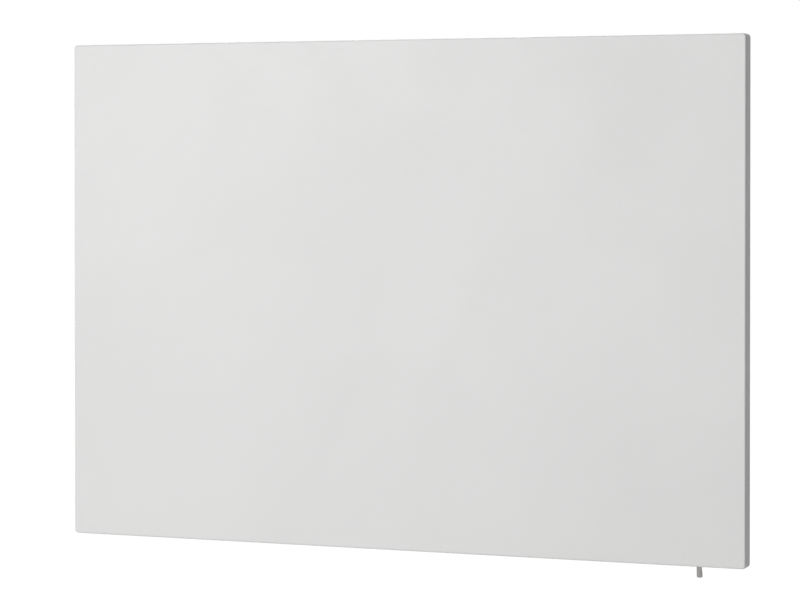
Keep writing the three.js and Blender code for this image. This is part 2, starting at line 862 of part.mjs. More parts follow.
function makeGlandBody() {
  const hex = plate(hexagon(glandAcross), glandHexHeight).translate(0, seat, 0);
  const thread = barAlongY(glandThreadRadius, glandInnerLength + seat + glandHexHeight / 2,
    0, -glandInnerLength, 0, turnFacets);
  const collar = barAlongY(glandCollarRadius, glandCollarLength + glandHexHeight / 2,
    0, seat + glandHexHeight / 2, 0, turnFacets);
  const bore = barAlongY(glandBoreRadius, 4 * glandCollarLength + glandInnerLength,
    0, -2 * glandInnerLength, 0, turnFacets);
  const socket = barAlongY(glandCollarRadius - glandWall, 2 * glandCollarLength,
    0, seat + glandHexHeight, 0, turnFacets);
  return cut(join(hex, thread, collar), bore, socket);
}

const sealLow = seat + glandHexHeight + seat;
const glandCapLow = seat + glandHexHeight + 2 * runningGap;

function makeSeal() {
  const radius = glandCollarRadius - glandWall - seat;
  return turned([
    [sealBoreRadius, sealLow],
    [radius, sealLow],
    [radius, sealLow + glandCollarLength - sealChamfer],
    [radius - sealChamfer, sealLow + glandCollarLength],
    [sealBoreRadius, sealLow + glandCollarLength],
    [sealBoreRadius, sealLow],
  ]);
}

function makeGlandCap() {
  const hexHeight = glandCapHeight - glandCapDome;
  const hex = plate(hexagon(glandAcross), hexHeight).translate(0, glandCapLow, 0);
  const low = glandCapLow + hexHeight / 2;
  const top = glandCapLow + glandCapHeight;
  const dome = turned([
    [0, low],
    [glandAcross / 2 - glandCapStep, low],
    [glandAcross / 2 - glandCapStep, top - glandCapDome],
    [glandAcross / 2 - glandCapSlope, top - glandCapDome / glandCapSlopeRatio],
    [glandCapMouth + glandCapMouthRim, top],
    [0, top],
  ]);
  const hollow = barAlongY(glandCollarRadius + runningGap,
    glandCapHeight + glandCapLow - glandWall - 2 * seat, 0, 0, 0, turnFacets);
  const mouth = barAlongY(glandCapMouth, 4 * glandCapHeight, 0, 0, 0, turnFacets);
  return cut(join(hex, dome), hollow, mouth);
}

// ---------- Toggle switch: the box's underside is z = 0, outwards is down ----------

function makeSwitchBody() {
  const low = boxWall + seat + bushingPlate + seat;
  const body = block(switchBodyWidth, switchBodyDepth, switchBodyHeight,
    0, 0, low + switchBodyHeight / 2);
  const tabs = [-1, 1].map((side) => block(switchTabWidth, switchTabThickness,
    switchTabHeight + switchTabRoot, 0, (side * switchTabSpacing) / 2,
    low + switchBodyHeight + (switchTabHeight - switchTabRoot) / 2));
  return join(body, ...tabs);
}

function makeBushing() {
  const plateLow = boxWall + seat;
  const plateTop = plateLow + bushingPlate;
  const flange = block(switchBodyWidth, switchBodyDepth, bushingPlate, 0, 0,
    plateLow + bushingPlate / 2);
  const barrel = barAlongZ(bushingRadius, bushingReach + plateLow + bushingPlate / 2,
    0, 0, -bushingReach);
  const bore = barAlongZ(bushingBore, bushingReach + 2 * plateTop, 0, 0, -bushingReach);
  const flare = turned([
    [0, -2 * bushingFlare],
    [2 * bushingMouth - bushingBore, -2 * bushingFlare],
    [bushingMouth, -bushingFlare],
    [bushingBore, 0],
    [0, 0],
  ]).rotateX(quarterTurn).translate(0, 0, bushingFlare - bushingReach);
  return cut(join(flange, barrel), bore, flare);
}

// The lever is turned about its own axis with the pivot at 0 and the tip downwards
function makeLever() {
  const ballRadius = bushingBore - runningGap;
  const ball = [];
  for (let i = 0; i <= ballFacets; i += 1) {
    const angle = quarterTurn * leverBallStart + (i / ballFacets) * quarterTurn * leverBallSweep;
    ball.push([ballRadius * Math.cos(angle), ballRadius * Math.sin(angle)]);
  }
  const mouth = bushingReach - pivotDepth;
  const shoulder = leverLength - leverTipRound;
  const tip = [];
  for (let i = 0; i <= edgeFacets; i += 1) {
    const angle = (i / edgeFacets) * quarterTurn;
    tip.push([
      leverTipRadius - leverTipRound + leverTipRound * Math.sin(angle),
      leverTipRound * Math.cos(angle) + shoulder,
    ]);
  }
  const below = [
    ...tip,
    [leverRootRadius, mouth],
  ].map(([radius, depth]) => [radius, -depth]);
  return turned([
    [0, -leverLength],
    ...below,
    [leverNeckRadius, -ballRadius],
    ...ball,
    [leverStubRadius, ballRadius],
    [leverStubRadius, leverStubLength],
    [0, leverStubLength],
  ]).rotateX(quarterTurn);
}

// ---------- Assembly ----------

const infraredPanelHeater = group(null);

add(infraredPanelHeater, 'wall_rail', makeWallRail(), galvanised());

// The heater's frame: the centre of the return flange's outer face
const heater = group(infraredPanelHeater, 0, -wallGap, panelCentreZ);

const shell = group(heater);
add(shell, 'front_panel', makeFrontPanel(), powderWhite());
add(shell, 'rear_cover', makeRearCover(), galvanised(), 0, coverInner, 0);
coverScrewPlaces().forEach(([x, z], index) => {
  add(shell, `cover_screw_${index + 1}`, panScrew(coverScrewRadius, coverScrewLength),
    zincPlated(), x, mountFace, z);
});

const pack = group(heater, 0, -panelDepth, 0);
add(pack, 'insulating_sheet', packSheet(insulatingSheetThickness), amberFilm(),
  0, insulatingSheetFront, 0);
add(pack, 'heating_film', packSheet(filmThickness), carbonFilm(), 0, filmFront, 0);
for (const [name, side] of sides) {
  const length = packHeight - 2 * busbarInset;
  const strip = block(busbarWidth, busbarThickness, length, 0, busbarThickness / 2, 0);
  add(pack, `busbar_${name}`, strip, copper(), side * busbarX, busbarFront, 0);
}
add(pack, 'reflector_foil', makeFoil(), bareAluminium(), 0, foilFront, 0);
add(pack, 'insulation_board', makeBoard(), fibreBoard(), 0, boardFront, 0);
add(pack, 'thermal_cutout', makeCutout(), bareAluminium(), cutoutX, boardFront, cutoutZ);
add(pack, 'cutout_bracket', makeBracket(), zincPlated(), cutoutX, boardRear + seat, cutoutZ);

const rear = group(heater);
for (const [name, side] of sides) {
  const x = (side * hangerSpacing) / 2;
  add(rear, `hanger_${name}`, makeHanger(), galvanised(), x, 0, 0);
  add(rear, `backing_plate_${name}`, makeBackingPlate(), zincPlated(),
    x, backingPlateRear - backingPlateThickness, hangerScrewZ);
}
sides.forEach(([, side], sideIndex) => {
  const reach = hangerScrewSeat - backingPlateRear + backingPlateThickness + runningGap;
  hangerScrewPlaces(side).forEach((x, index) => {
    add(rear, `hanger_screw_${2 * sideIndex + index + 1}`, panScrew(hangerScrewRadius, reach),
      zincPlated(), x, hangerScrewSeat, hangerScrewZ);
  });
});
for (const [name, side] of sides) {
  const x = side * standoffX;
  add(rear, `standoff_${name}`, makeStandoff(), mouldedGrey(), x, mountFace, standoffZ);
  add(rear, `standoff_pad_${name}`, makePad(), blackRubber(), x, wallGap - padThickness, standoffZ);
  const screw = add(rear, `standoff_screw_${name}`,
    panScrew(standoffScrewRadius, standoffScrewLength), zincPlated(),
    x, coverInner - seat, standoffZ);
  screw.rotation.x = halfTurn;
}

// The terminal box's frame: the centre of its base, on the rear cover
const box = group(heater, boxX, mountFace, boxZ);
add(box, 'terminal_box', makeBox(), mouldedGrey());
add(box, 'box_gasket', makeGasket(), blackRubber(), 0, boxDepth + seat, 0);
add(box, 'box_lid', makeLid(), mouldedGrey(), 0, lidSeat, 0);
bossPlaces().forEach(([x, z], index) => {
  add(box, `lid_screw_${index + 1}`, panScrew(smallScrewRadius, boxDepth / 2), zincPlated(),
    x, lidSeat + lidThickness + seat, z);
});
boxScrewPlaces().forEach(([x, z], index) => {
  add(box, `box_screw_${index + 1}`, panScrew(boxScrewRadius, boxScrewLength), zincPlated(),
    x, boxWall + seat, z);
});
add(box, 'terminal_block', makeTerminalBlock(), ceramic(), blockX, boxWall + seat, blockZ);
add(box, 'earth_stud', barAlongY(earthRadius, earthStudLength), zincPlated(), earthX, 0, earthZ);
add(box, 'earth_nut', hexNut(earthNutAcross, earthNutHeight, earthRadius + holeClearance),
  zincPlated(), earthX, boxWall + seat, earthZ);
add(box, 'wire_grommet', makeGrommet(), blackRubber(), grommetX, 0, grommetZ);

const gland = group(box, -boxWidth / 2, boxMidDepth, glandZ);
gland.rotation.z = quarterTurn;
add(gland, 'gland_body', makeGlandBody(), mouldedGrey());
add(gland, 'gland_seal', makeSeal(), blackRubber());
add(gland, 'gland_cap', makeGlandCap(), mouldedGrey());
add(gland, 'gland_locknut', hexNut(glandAcross, locknutHeight, glandThreadRadius + holeClearance),
  mouldedGrey(), 0, -boxWall - seat - locknutHeight, 0);

const toggle = group(box, switchX, boxMidDepth, -boxHeight / 2);
add(toggle, 'switch_body', makeSwitchBody(), mouldedBlack());
add(toggle, 'switch_bushing', makeBushing(), nickelPlated());
const washer = add(toggle, 'switch_washer',
  ring(washerRadius, bushingRadius + holeClearance, washerThickness),
  nickelPlated(), 0, 0, -seat);
washer.rotation.x = -quarterTurn;
const switchNut = add(toggle, 'switch_nut',
  hexNut(switchNutAcross, switchNutHeight, bushingRadius + holeClearance),
  nickelPlated(), 0, 0, -2 * seat - washerThickness);
switchNut.rotation.x = -quarterTurn;
const lever = add(toggle, 'toggle_lever', makeLever(), nickelPlated(), 0, 0, -pivotDepth);
lever.rotation.x = THREE.MathUtils.degToRad(leverThrow / 2);

// ---------- Leads ----------

// Places in the terminal box's frame
const poleTop = blockZ + blockHeight / 2 + runningGap;
const poleLevel = boxWall + seat + poleBoreHeight;
const tabTop = -boxHeight / 2 + boxWall + 2 * seat + bushingPlate + switchBodyHeight
  + switchTabHeight + runningGap;
const tabNear = boxMidDepth - switchTabSpacing / 2;
const tabFar = boxMidDepth + switchTabSpacing / 2;
const throughFlange = wiringY - mountFace;

add(box, 'lead_live', lead([
  [poleX(2), poleLevel, poleTop],
  [poleX(2), poleLevel, poleTop + 5],
  [poleX(2) + 5, poleLevel, poleTop + 9],
  [switchX - 8, tabNear, poleTop + 9],
  [switchX - 1, tabNear, poleTop + 5],
  [switchX, tabNear, tabTop],
]), mouldedBlack());

const earthLeadEnd = earthX - earthRadius - runningGap;
add(box, 'lead_earth', lead([
  [poleX(0), poleLevel, poleTop],
  [poleX(0), poleLevel, poleTop + 6],
  [poleX(0) + 1, poleLevel + 0.5, earthZ - 4],
  [earthLeadEnd - 4, poleLevel + 1, earthZ],
  [earthLeadEnd, poleLevel + 1, earthZ],
]), finish(0x4f7f2c, 0.5, 0));

const upperLead = grommetZ + leadOffset;
const lowerLead = grommetZ - leadOffset;
const cutoutNearTab = cutoutX - boxX + cutoutTabSpacing / 2 + leadRadius + runningGap
  + cutoutTabThickness / 2;
add(box, 'lead_switched', lead([
  [switchX, tabFar, tabTop],
  [switchX, tabFar, tabTop + 5],
  [switchX - 3, tabFar - 3, upperLead - 2],
  [grommetX + 5, boxMidDepth - 3, upperLead],
  [grommetX, boxMidDepth - 8, upperLead],
  [grommetX, 0, upperLead],
  [grommetX - 3, throughFlange, upperLead],
  [grommetX - 14, throughFlange, upperLead],
  [cutoutNearTab + 14, throughFlange, grommetZ],
  [cutoutNearTab, throughFlange, grommetZ],
]), finish(0x7a4a28, 0.5, 0));

const busbarLeadEnd = busbarFront + busbarThickness + runningGap - panelDepth - mountFace;
const boardRearY = boardRear - panelDepth - mountFace;
add(box, 'lead_neutral', lead([
  [poleX(1), poleLevel, poleTop],
  [poleX(1), poleLevel, poleTop + 6],
  [poleX(1) + 6, poleLevel, lowerLead - 1],
  [grommetX - 4, poleLevel - 1, lowerLead],
  [grommetX, poleLevel - 4, lowerLead],
  [grommetX, 0, lowerLead],
  [grommetX + 3, throughFlange, lowerLead],
  [busbarX - boxX - 12, throughFlange, grommetZ],
  [busbarX - boxX - 3, (throughFlange + boardRearY) / 2 - 0.5, grommetZ],
  [busbarX - boxX, boardRearY - 4, grommetZ],
  [busbarX - boxX, busbarLeadEnd, grommetZ],
]), finish(0x2c4f8a, 0.5, 0));

const cutoutFarTab = cutoutX - boxX - cutoutTabSpacing / 2 - leadRadius - runningGap
  - cutoutTabThickness / 2;
add(box, 'lead_feed', lead([
  [cutoutFarTab, throughFlange, grommetZ],
  [cutoutFarTab - 10, throughFlange, grommetZ],
  [-busbarX - boxX + 12, throughFlange, grommetZ],
  [-busbarX - boxX + 3, (throughFlange + boardRearY) / 2 - 0.5, grommetZ],
  [-busbarX - boxX, boardRearY - 4, grommetZ],
  [-busbarX - boxX, busbarLeadEnd, grommetZ],
]), finish(0x7a4a28, 0.5, 0));

export default infraredPanelHeater;
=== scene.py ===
"""Looks of an infrared panel heater that hangs on its wall rail.

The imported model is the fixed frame: metres, +Z up, the wall at y = 0 and the heater's
front facing -Y. Each piece that shows is modelled here in its node's place, and the
nodes that stay inside the heater keep their own mesh and get a finish.
"""

import json
import logging
import math
from contextlib import contextmanager
from dataclasses import dataclass
from enum import Enum
from typing import Any, Callable, Iterator, Sequence

import bmesh
import bpy
from mathutils import Matrix, Vector


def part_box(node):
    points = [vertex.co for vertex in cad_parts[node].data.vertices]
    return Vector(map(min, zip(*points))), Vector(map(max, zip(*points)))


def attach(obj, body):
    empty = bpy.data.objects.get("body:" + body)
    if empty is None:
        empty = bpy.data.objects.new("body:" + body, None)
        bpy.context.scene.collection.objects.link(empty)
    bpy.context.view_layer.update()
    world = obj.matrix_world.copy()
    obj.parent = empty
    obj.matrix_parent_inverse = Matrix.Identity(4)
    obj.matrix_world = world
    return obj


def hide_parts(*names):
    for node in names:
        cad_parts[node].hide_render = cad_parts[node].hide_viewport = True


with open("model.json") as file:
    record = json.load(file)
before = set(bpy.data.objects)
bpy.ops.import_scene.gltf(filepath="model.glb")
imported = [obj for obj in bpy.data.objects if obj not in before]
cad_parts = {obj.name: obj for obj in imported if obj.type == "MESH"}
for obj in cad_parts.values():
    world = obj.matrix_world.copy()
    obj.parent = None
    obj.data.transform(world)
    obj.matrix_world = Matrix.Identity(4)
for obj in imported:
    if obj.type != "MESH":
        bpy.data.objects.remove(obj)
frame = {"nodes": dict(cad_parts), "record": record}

LOG = logging.getLogger("panel_heater")
MM = 0.001
SAME = 1e-6  # places closer than this are one place
BESIDE = 1e-5  # a face or an edge this near a level lies on it
FACING = 0.9  # a face with this much of its normal on an axis looks along it
FULL_TURN = 2 * math.pi
QUARTER_TURN = math.pi / 2
HALF_FLAT_TURN = 30.0  # degrees from a hexagon's corner to the middle of its flat
TURN_STEPS = 48
FINE_TURN_STEPS = 64
SMALL_TURN_STEPS = 32
DRILL_STEPS = 24
THREAD_CREST = (0.4, 0.6)  # where a crest starts and ends, as shares of a turn

Colour = tuple[float, float, float]
Piece = bpy.types.Object
Profile = Sequence[tuple[float, float]]
Test = Callable[[Vector, Vector], bool]


class Axis(Enum):
    """An axis of the frame, by its index."""

    X = 0
    Y = 1
    Z = 2


class Boolean(Enum):
    """How one solid changes another."""

    CUT = "DIFFERENCE"
    FUSE = "UNION"
    KEEP_SHARED = "INTERSECT"


class Part(Enum):
    """What is picked on a mesh, by the name of its list."""

    FACE = "faces"
    EDGE = "edges"


# ---------- Bench: selecting and shaping with Blender's own tools ----------


def make_active(piece: Piece) -> None:
    """Selects one piece alone and makes it the active one.

    Args:
        piece: The piece to work on.
    """
    for other in bpy.context.selected_objects:
        other.select_set(False)
    piece.select_set(True)
    bpy.context.view_layer.objects.active = piece


@contextmanager
def editing(piece: Piece) -> Iterator[None]:
    """Opens a piece in edit mode with nothing selected.

    Args:
        piece: The piece to edit.
    """
    make_active(piece)
    bpy.ops.object.mode_set(mode="EDIT")
    bpy.ops.mesh.select_mode(type="VERT")
    bpy.ops.mesh.select_all(action="DESELECT")
    try:
        yield
    finally:
        bpy.ops.object.mode_set(mode="OBJECT")


def pick(piece: Piece, kind: Part, test: Callable[[Any], bool]) -> None:
    """Selects the faces or the edges that pass a test.

    Args:
        piece: The piece that is open in edit mode.
        kind: What is picked.
        test: Takes a face or an edge.
    """
    bpy.ops.mesh.select_mode(type=kind.name)
    bpy.ops.mesh.select_all(action="DESELECT")
    mesh = bmesh.from_edit_mesh(piece.data)
    for part in [part for part in getattr(mesh, kind.value) if test(part)]:
        part.select_set(True)
    bmesh.update_edit_mesh(piece.data)


def pick_faces(piece: Piece, test: Test) -> None:
    """Selects the faces whose centre and normal pass a test."""
    pick(piece, Part.FACE, lambda face: test(face.calc_center_median(), face.normal))


def pick_edges(piece: Piece, test: Test) -> None:
    """Selects the edges whose two ends pass a test."""
    pick(piece, Part.EDGE, lambda edge: test(edge.verts[0].co, edge.verts[1].co))


def on_level(axis: Axis, level: float) -> Test:
    """Makes a test for edges that lie in a plane square to an axis.

    Args:
        axis: The axis that the plane is square to.
        level: The plane's place on that axis.

    Returns:
        The test for pick_edges.
    """
    return lambda a, b: (
        abs(a[axis.value] - level) < BESIDE and abs(b[axis.value] - level) < BESIDE
    )


def along(axis: Axis) -> Test:
    """Makes a test for edges that run along an axis.

    Args:
        axis: The axis that the edges follow.

    Returns:
        The test for pick_edges.
    """
    others = [i for i in range(3) if i != axis.value]
    return lambda a, b: all(abs(a[i] - b[i]) < BESIDE for i in others)


def both(first: Test, second: Test) -> Test:
    """Makes a test that passes where two others pass."""
    return lambda a, b: first(a, b) and second(a, b)


def bevel(width: float, steps: int) -> None:
    """Rounds the selected edges.

    Args:
        width: The radius of the round.
        steps: How many facets the round has.
    """
    bpy.ops.mesh.bevel(offset=width, offset_type="OFFSET", segments=steps, profile=0.5,
                       affect="EDGES", clamp_overlap=False)


def extrude_edges(by: tuple[float, float, float]) -> None:
    """Draws the selected edges out into a strip.

    Args:
        by: How far, on each axis.
    """
    bpy.ops.mesh.extrude_edges_move(TRANSFORM_OT_translate={"value": by})


def settle(name: str) -> Piece:
    """Names the primitive that was just added and puts its place into its mesh.

    Args:
        name: The piece's name.

    Returns:
        The piece.
    """
    piece = bpy.context.object
    piece.name = name
    piece.data.name = name
    bpy.ops.object.transform_apply(location=True, rotation=True, scale=True)
    return piece


def start_block(name: str, low: Vector, high: Vector, spin: float = 0.0,
                about: Axis = Axis.Y) -> Piece:
    """Starts a piece from a block.

    Args:
        name: The piece's name.
        low: The block's lowest corner before it is turned.
        high: Its highest corner.
        spin: How far it is turned about its own centre.
        about: The axis that it is turned about.

    Returns:
        The block.
    """
    turn = [0.0, 0.0, 0.0]
    turn[about.value] = spin
    bpy.ops.mesh.primitive_cube_add(size=1, location=(low + high) / 2, rotation=turn,
                                    scale=high - low)
    return settle(name)


def start_sheet(name: str, centre: Vector, width: float, height: float) -> Piece:
    """Starts a folded strip from one upright face that looks along -Y.

    Args:
        name: The piece's name.
        centre: The face's centre.
        width: Its size along X.
        height: Its size along Z.

    Returns:
        The face.
    """
    bpy.ops.mesh.primitive_plane_add(size=1, location=centre,
                                     rotation=(QUARTER_TURN, 0, 0))
    bpy.context.object.scale = (width, height, 1)
    return settle(name)


def start_bar(name: str, radius: float, low: float, high: float,
              sides: int = TURN_STEPS) -> Piece:
    """Starts a piece from a round or many-sided bar along Z.

    Args:
        name: The piece's name.
        radius: The radius of its corners.
        low: Where it starts on Z.
        high: Where it ends on Z.
        sides: How many sides it has.

    Returns:
        The bar.
    """
    bpy.ops.mesh.primitive_cylinder_add(vertices=sides, radius=radius, depth=high - low,
                                        location=(0, 0, (low + high) / 2))
    return settle(name)


def rounded_block(name: str, low: Vector, high: Vector, corner: float, edge: float,
                  axis: Axis = Axis.Y, corner_steps: int = 8, edge_steps: int = 4) -> Piece:
    """Makes a slab with round corners about one axis and round edges.

    Args:
        name: The piece's name.
        low: The slab's lowest corner.
        high: Its highest corner.
        corner: The radius of the four corners about the axis.
        edge: The radius of the edges at both ends of the axis; none at 0.
        axis: The axis that the corners run along.
        corner_steps: Facets on a corner.
        edge_steps: Facets on an edge.

    Returns:
        The slab.
    """
    piece = start_block(name, low, high)
    with editing(piece):
        pick_edges(piece, along(axis))
        bevel(corner, corner_steps)
        if edge:
            for level in (low[axis.value], high[axis.value]):
                pick_edges(piece, on_level(axis, level))
                bevel(edge, edge_steps)
    return piece


def turned(name: str, profile: Profile, steps: int = TURN_STEPS) -> Piece:
    """Spins a profile about Z into a closed piece.

    Args:
        name: The piece's name.
        profile: Its points as (radius, height). It starts and ends on the axis, or its
            last point is its first.
        steps: How many facets go round.

    Returns:
        The turned piece.
    """
    bpy.ops.mesh.primitive_plane_add(size=MM)
    piece = settle(name)
    with editing(piece):
        bpy.ops.mesh.select_all(action="SELECT")
        bpy.ops.mesh.merge(type="CENTER")
        bpy.ops.transform.translate(value=(profile[0][0], 0, profile[0][1]))
        for last, point in zip(profile, profile[1:]):
            step = (point[0] - last[0], 0, point[1] - last[1])
            bpy.ops.mesh.extrude_vertices_move(TRANSFORM_OT_translate={"value": step})
        bpy.ops.mesh.select_all(action="SELECT")
        bpy.ops.mesh.spin(steps=steps, angle=FULL_TURN, center=(0, 0, 0), axis=(0, 0, 1))
        bpy.ops.mesh.select_all(action="SELECT")
        bpy.ops.mesh.remove_doubles(threshold=SAME)
        bpy.ops.mesh.normals_make_consistent(inside=False)
    return piece


def arc(radius: float, height: float, bend: float, start: float, end: float,
        steps: int = 5) -> list[tuple[float, float]]:
    """Gives the points of a round in a turned profile.

    Args:
        radius: The distance of the round's centre from the axis.
        height: The height of its centre.
        bend: The radius of the round.
        start: The angle it starts at, in degrees, 0 outwards and 90 up.
        end: The angle it ends at.
        steps: How many facets it has.

    Returns:
        The points as (radius, height).
    """
    angles = [math.radians(start + (end - start) * i / steps) for i in range(steps + 1)]
    return [(radius + bend * math.cos(a), height + bend * math.sin(a)) for a in angles]


def thread(radius: float, depth: float, pitch: float, low: float,
           high: float) -> list[tuple[float, float]]:
    """Gives the points of a thread's crests and roots in a turned profile.

    Args:
        radius: The radius over the crests.
        depth: How deep the roots are.
        pitch: From crest to crest.
        low: Where the thread starts.
        high: Where it ends.

    Returns:
        The points as (radius, height), from low to high.
    """
    turns = max(1, int((high - low) / pitch))
    step = (high - low) / turns
    points = [(radius - depth, low)]
    for i in range(turns):
        foot = low + i * step
        points += [*((radius, foot + step * share) for share in THREAD_CREST),
                   (radius - depth, foot + step)]
    return points


def combine(piece: Piece, tool: Piece, how: Boolean) -> Piece:
    """Cuts, fuses or keeps what two solids share, and uses the tool up.

    Args:
        piece: The solid that changes.
        tool: The solid that changes it.
        how: What is done.

    Returns:
        The changed piece.
    """
    make_active(piece)
    modifier = piece.modifiers.new(how.name.lower(), "BOOLEAN")
    modifier.operation = how.value
    modifier.solver = "EXACT"
    modifier.object = tool
    bpy.ops.object.modifier_apply(modifier=modifier.name)
    bpy.data.objects.remove(tool)
    return piece


def cut(piece: Piece, *tools: Piece) -> Piece:
    """Cuts each tool out of a piece and returns the piece."""
    for tool in tools:
        combine(piece, tool, Boolean.CUT)
    return piece


def fuse(piece: Piece, *others: Piece) -> Piece:
    """Fuses other solids to a piece and returns the piece."""
    for other in others:
        combine(piece, other, Boolean.FUSE)
    return piece


def soften(piece: Piece, width: float, steps: int = 2, sharper_than: float = 40.0) -> Piece:
    """Breaks the sharp edges of a piece.

    Args:
        piece: The piece.
        width: How wide the broken edge is.
        steps: How many facets it has.
        sharper_than: Edges that turn by more than these degrees are broken.

    Returns:
        The piece.
    """
    make_active(piece)
    modifier = piece.modifiers.new("soften", "BEVEL")
    modifier.width = width
    modifier.segments = steps
    modifier.limit_method = "ANGLE"
    modifier.angle_limit = math.radians(sharper_than)
    bpy.ops.object.modifier_apply(modifier=modifier.name)
    return piece


def thicken(piece: Piece, thickness: float) -> Piece:
    """Gives a folded strip the thickness of its sheet.

    Args:
        piece: The strip.
        thickness: The sheet's thickness, on the side that its faces point to, or on
            the other side where it is negative.

    Returns:
        The piece.
    """
    make_active(piece)
    modifier = piece.modifiers.new("sheet", "SOLIDIFY")
    modifier.thickness = abs(thickness)
    modifier.offset = math.copysign(1, thickness)
    modifier.use_even_offset = True
    bpy.ops.object.modifier_apply(modifier=modifier.name)
    with editing(piece):
        bpy.ops.mesh.select_all(action="SELECT")
        bpy.ops.mesh.normals_make_consistent(inside=False)
    return piece


def shade(piece: Piece, sharper_than: float = 35.0) -> Piece:
    """Shades a piece smoothly, with flat faces kept flat.

    Args:
        piece: The piece.
        sharper_than: Edges that turn by more than these degrees stay sharp.

    Returns:
        The piece.
    """
    make_active(piece)
    bpy.ops.object.shade_smooth_by_angle(angle=math.radians(sharper_than))
    modifier = piece.modifiers.new("weights", "WEIGHTED_NORMAL")
    modifier.keep_sharp = True
    bpy.ops.object.modifier_apply(modifier=modifier.name)
    return piece


def moved(piece: Piece, place: Matrix) -> Piece:
    """Moves a piece's mesh to its place and returns the piece."""
    piece.data.transform(place)
    piece.data.update()
    return piece


def copied(piece: Piece, name: str, place: Matrix) -> Piece:
    """Copies a piece with a mesh of its own.

    Args:
        piece: The piece to copy.
        name: The copy's name.
        place: Where the copy's mesh is moved to.

    Returns:
        The copy.
    """
    twin = piece.copy()
    twin.data = piece.data.copy()
    twin.name = name
    twin.data.name = name
    bpy.context.scene.collection.objects.link(twin)
    return moved(twin, place)


def shifted(x: float, y: float, z: float, turn: float = 0.0,
            about: Axis = Axis.X) -> Matrix:
    """Gives the matrix that turns a piece about an axis and then shifts it.

    Args:
        x: The shift along X.
        y: The shift along Y.
        z: The shift along Z.
        turn: The turn, in degrees.
        about: The axis of the turn.

    Returns:
        The matrix.
    """
    spin = Matrix.Rotation(math.radians(turn), 4, about.name)
    return Matrix.Translation((x, y, z)) @ spin


# ---------- Finishes: node groups that several materials share ----------


class Graph:
    """A short way to place nodes in a tree and to wire them."""

    def __init__(self, tree: bpy.types.NodeTree) -> None:
        """Keeps the tree that nodes are put in."""
        self.tree = tree

    def put(self, kind: str, inputs: dict[Any, Any] | None = None,
            **settings: Any) -> bpy.types.Node:
        """Adds a node.

        Args:
            kind: The node's type.
            inputs: Values or sockets by the input's name or index.
            settings: The node's own settings.

        Returns:
            The node.
        """
        node = self.tree.nodes.new(kind)
        for name, value in settings.items():
            setattr(node, name, value)
        for key, value in (inputs or {}).items():
            if isinstance(value, bpy.types.NodeSocket):
                self.tree.links.new(value, node.inputs[key])
            else:
                node.inputs[key].default_value = value
        return node

    def math(self, operation: str, first: Any, second: Any = 0.0) -> bpy.types.NodeSocket:
        """Places a Math node and returns its value."""
        return self.put("ShaderNodeMath", {0: first, 1: second},
                        operation=operation).outputs[0]

    def noise(self, vector: Any, scale: Any, detail: float = 2.0,
              distortion: float = 0.0) -> bpy.types.NodeSocket:
        """Places a Noise Texture node and returns its factor."""
        return self.put("ShaderNodeTexNoise", {
            "Vector": vector, "Scale": scale, "Detail": detail, "Distortion": distortion,
        }).outputs["Fac"]

    def spread(self, value: Any, low: float, high: float, new_low: float = 0.0,
               new_high: float = 1.0) -> bpy.types.NodeSocket:
        """Places a Map Range node and returns its result."""
        return self.put("ShaderNodeMapRange", {
            "Value": value, "From Min": low, "From Max": high,
            "To Min": new_low, "To Max": new_high,
        }).outputs["Result"]

    def blend(self, factor: Any, first: Any, second: Any) -> bpy.types.NodeSocket:
        """Places a Mix node for colours and returns its result."""
        node = self.put("ShaderNodeMix", data_type="RGBA")
        for key, value in (("Factor", factor), ("A", first), ("B", second)):
            socket = next(s for s in node.inputs
                          if s.name == key and s.type in ("RGBA", "VALUE") and s.enabled)
            if isinstance(value, bpy.types.NodeSocket):
                self.tree.links.new(value, socket)
            elif socket.type == "RGBA":
                socket.default_value = (*value, 1.0)
            else:
                socket.default_value = value
        return next(s for s in node.outputs if s.enabled)


class Relief(Enum):
    """The small relief of a surface, each a node group with Height and Mask."""

    PEEL = "powder peel"
    SPANGLE = "zinc spangle"
    DRAWN = "drawn lines"
    TURNED = "turned rings"
    GRAIN = "moulded grain"
    CRUMPLE = "foil crumple"
    FIBRE = "pressed fibre"
    PRINT = "printed bands"


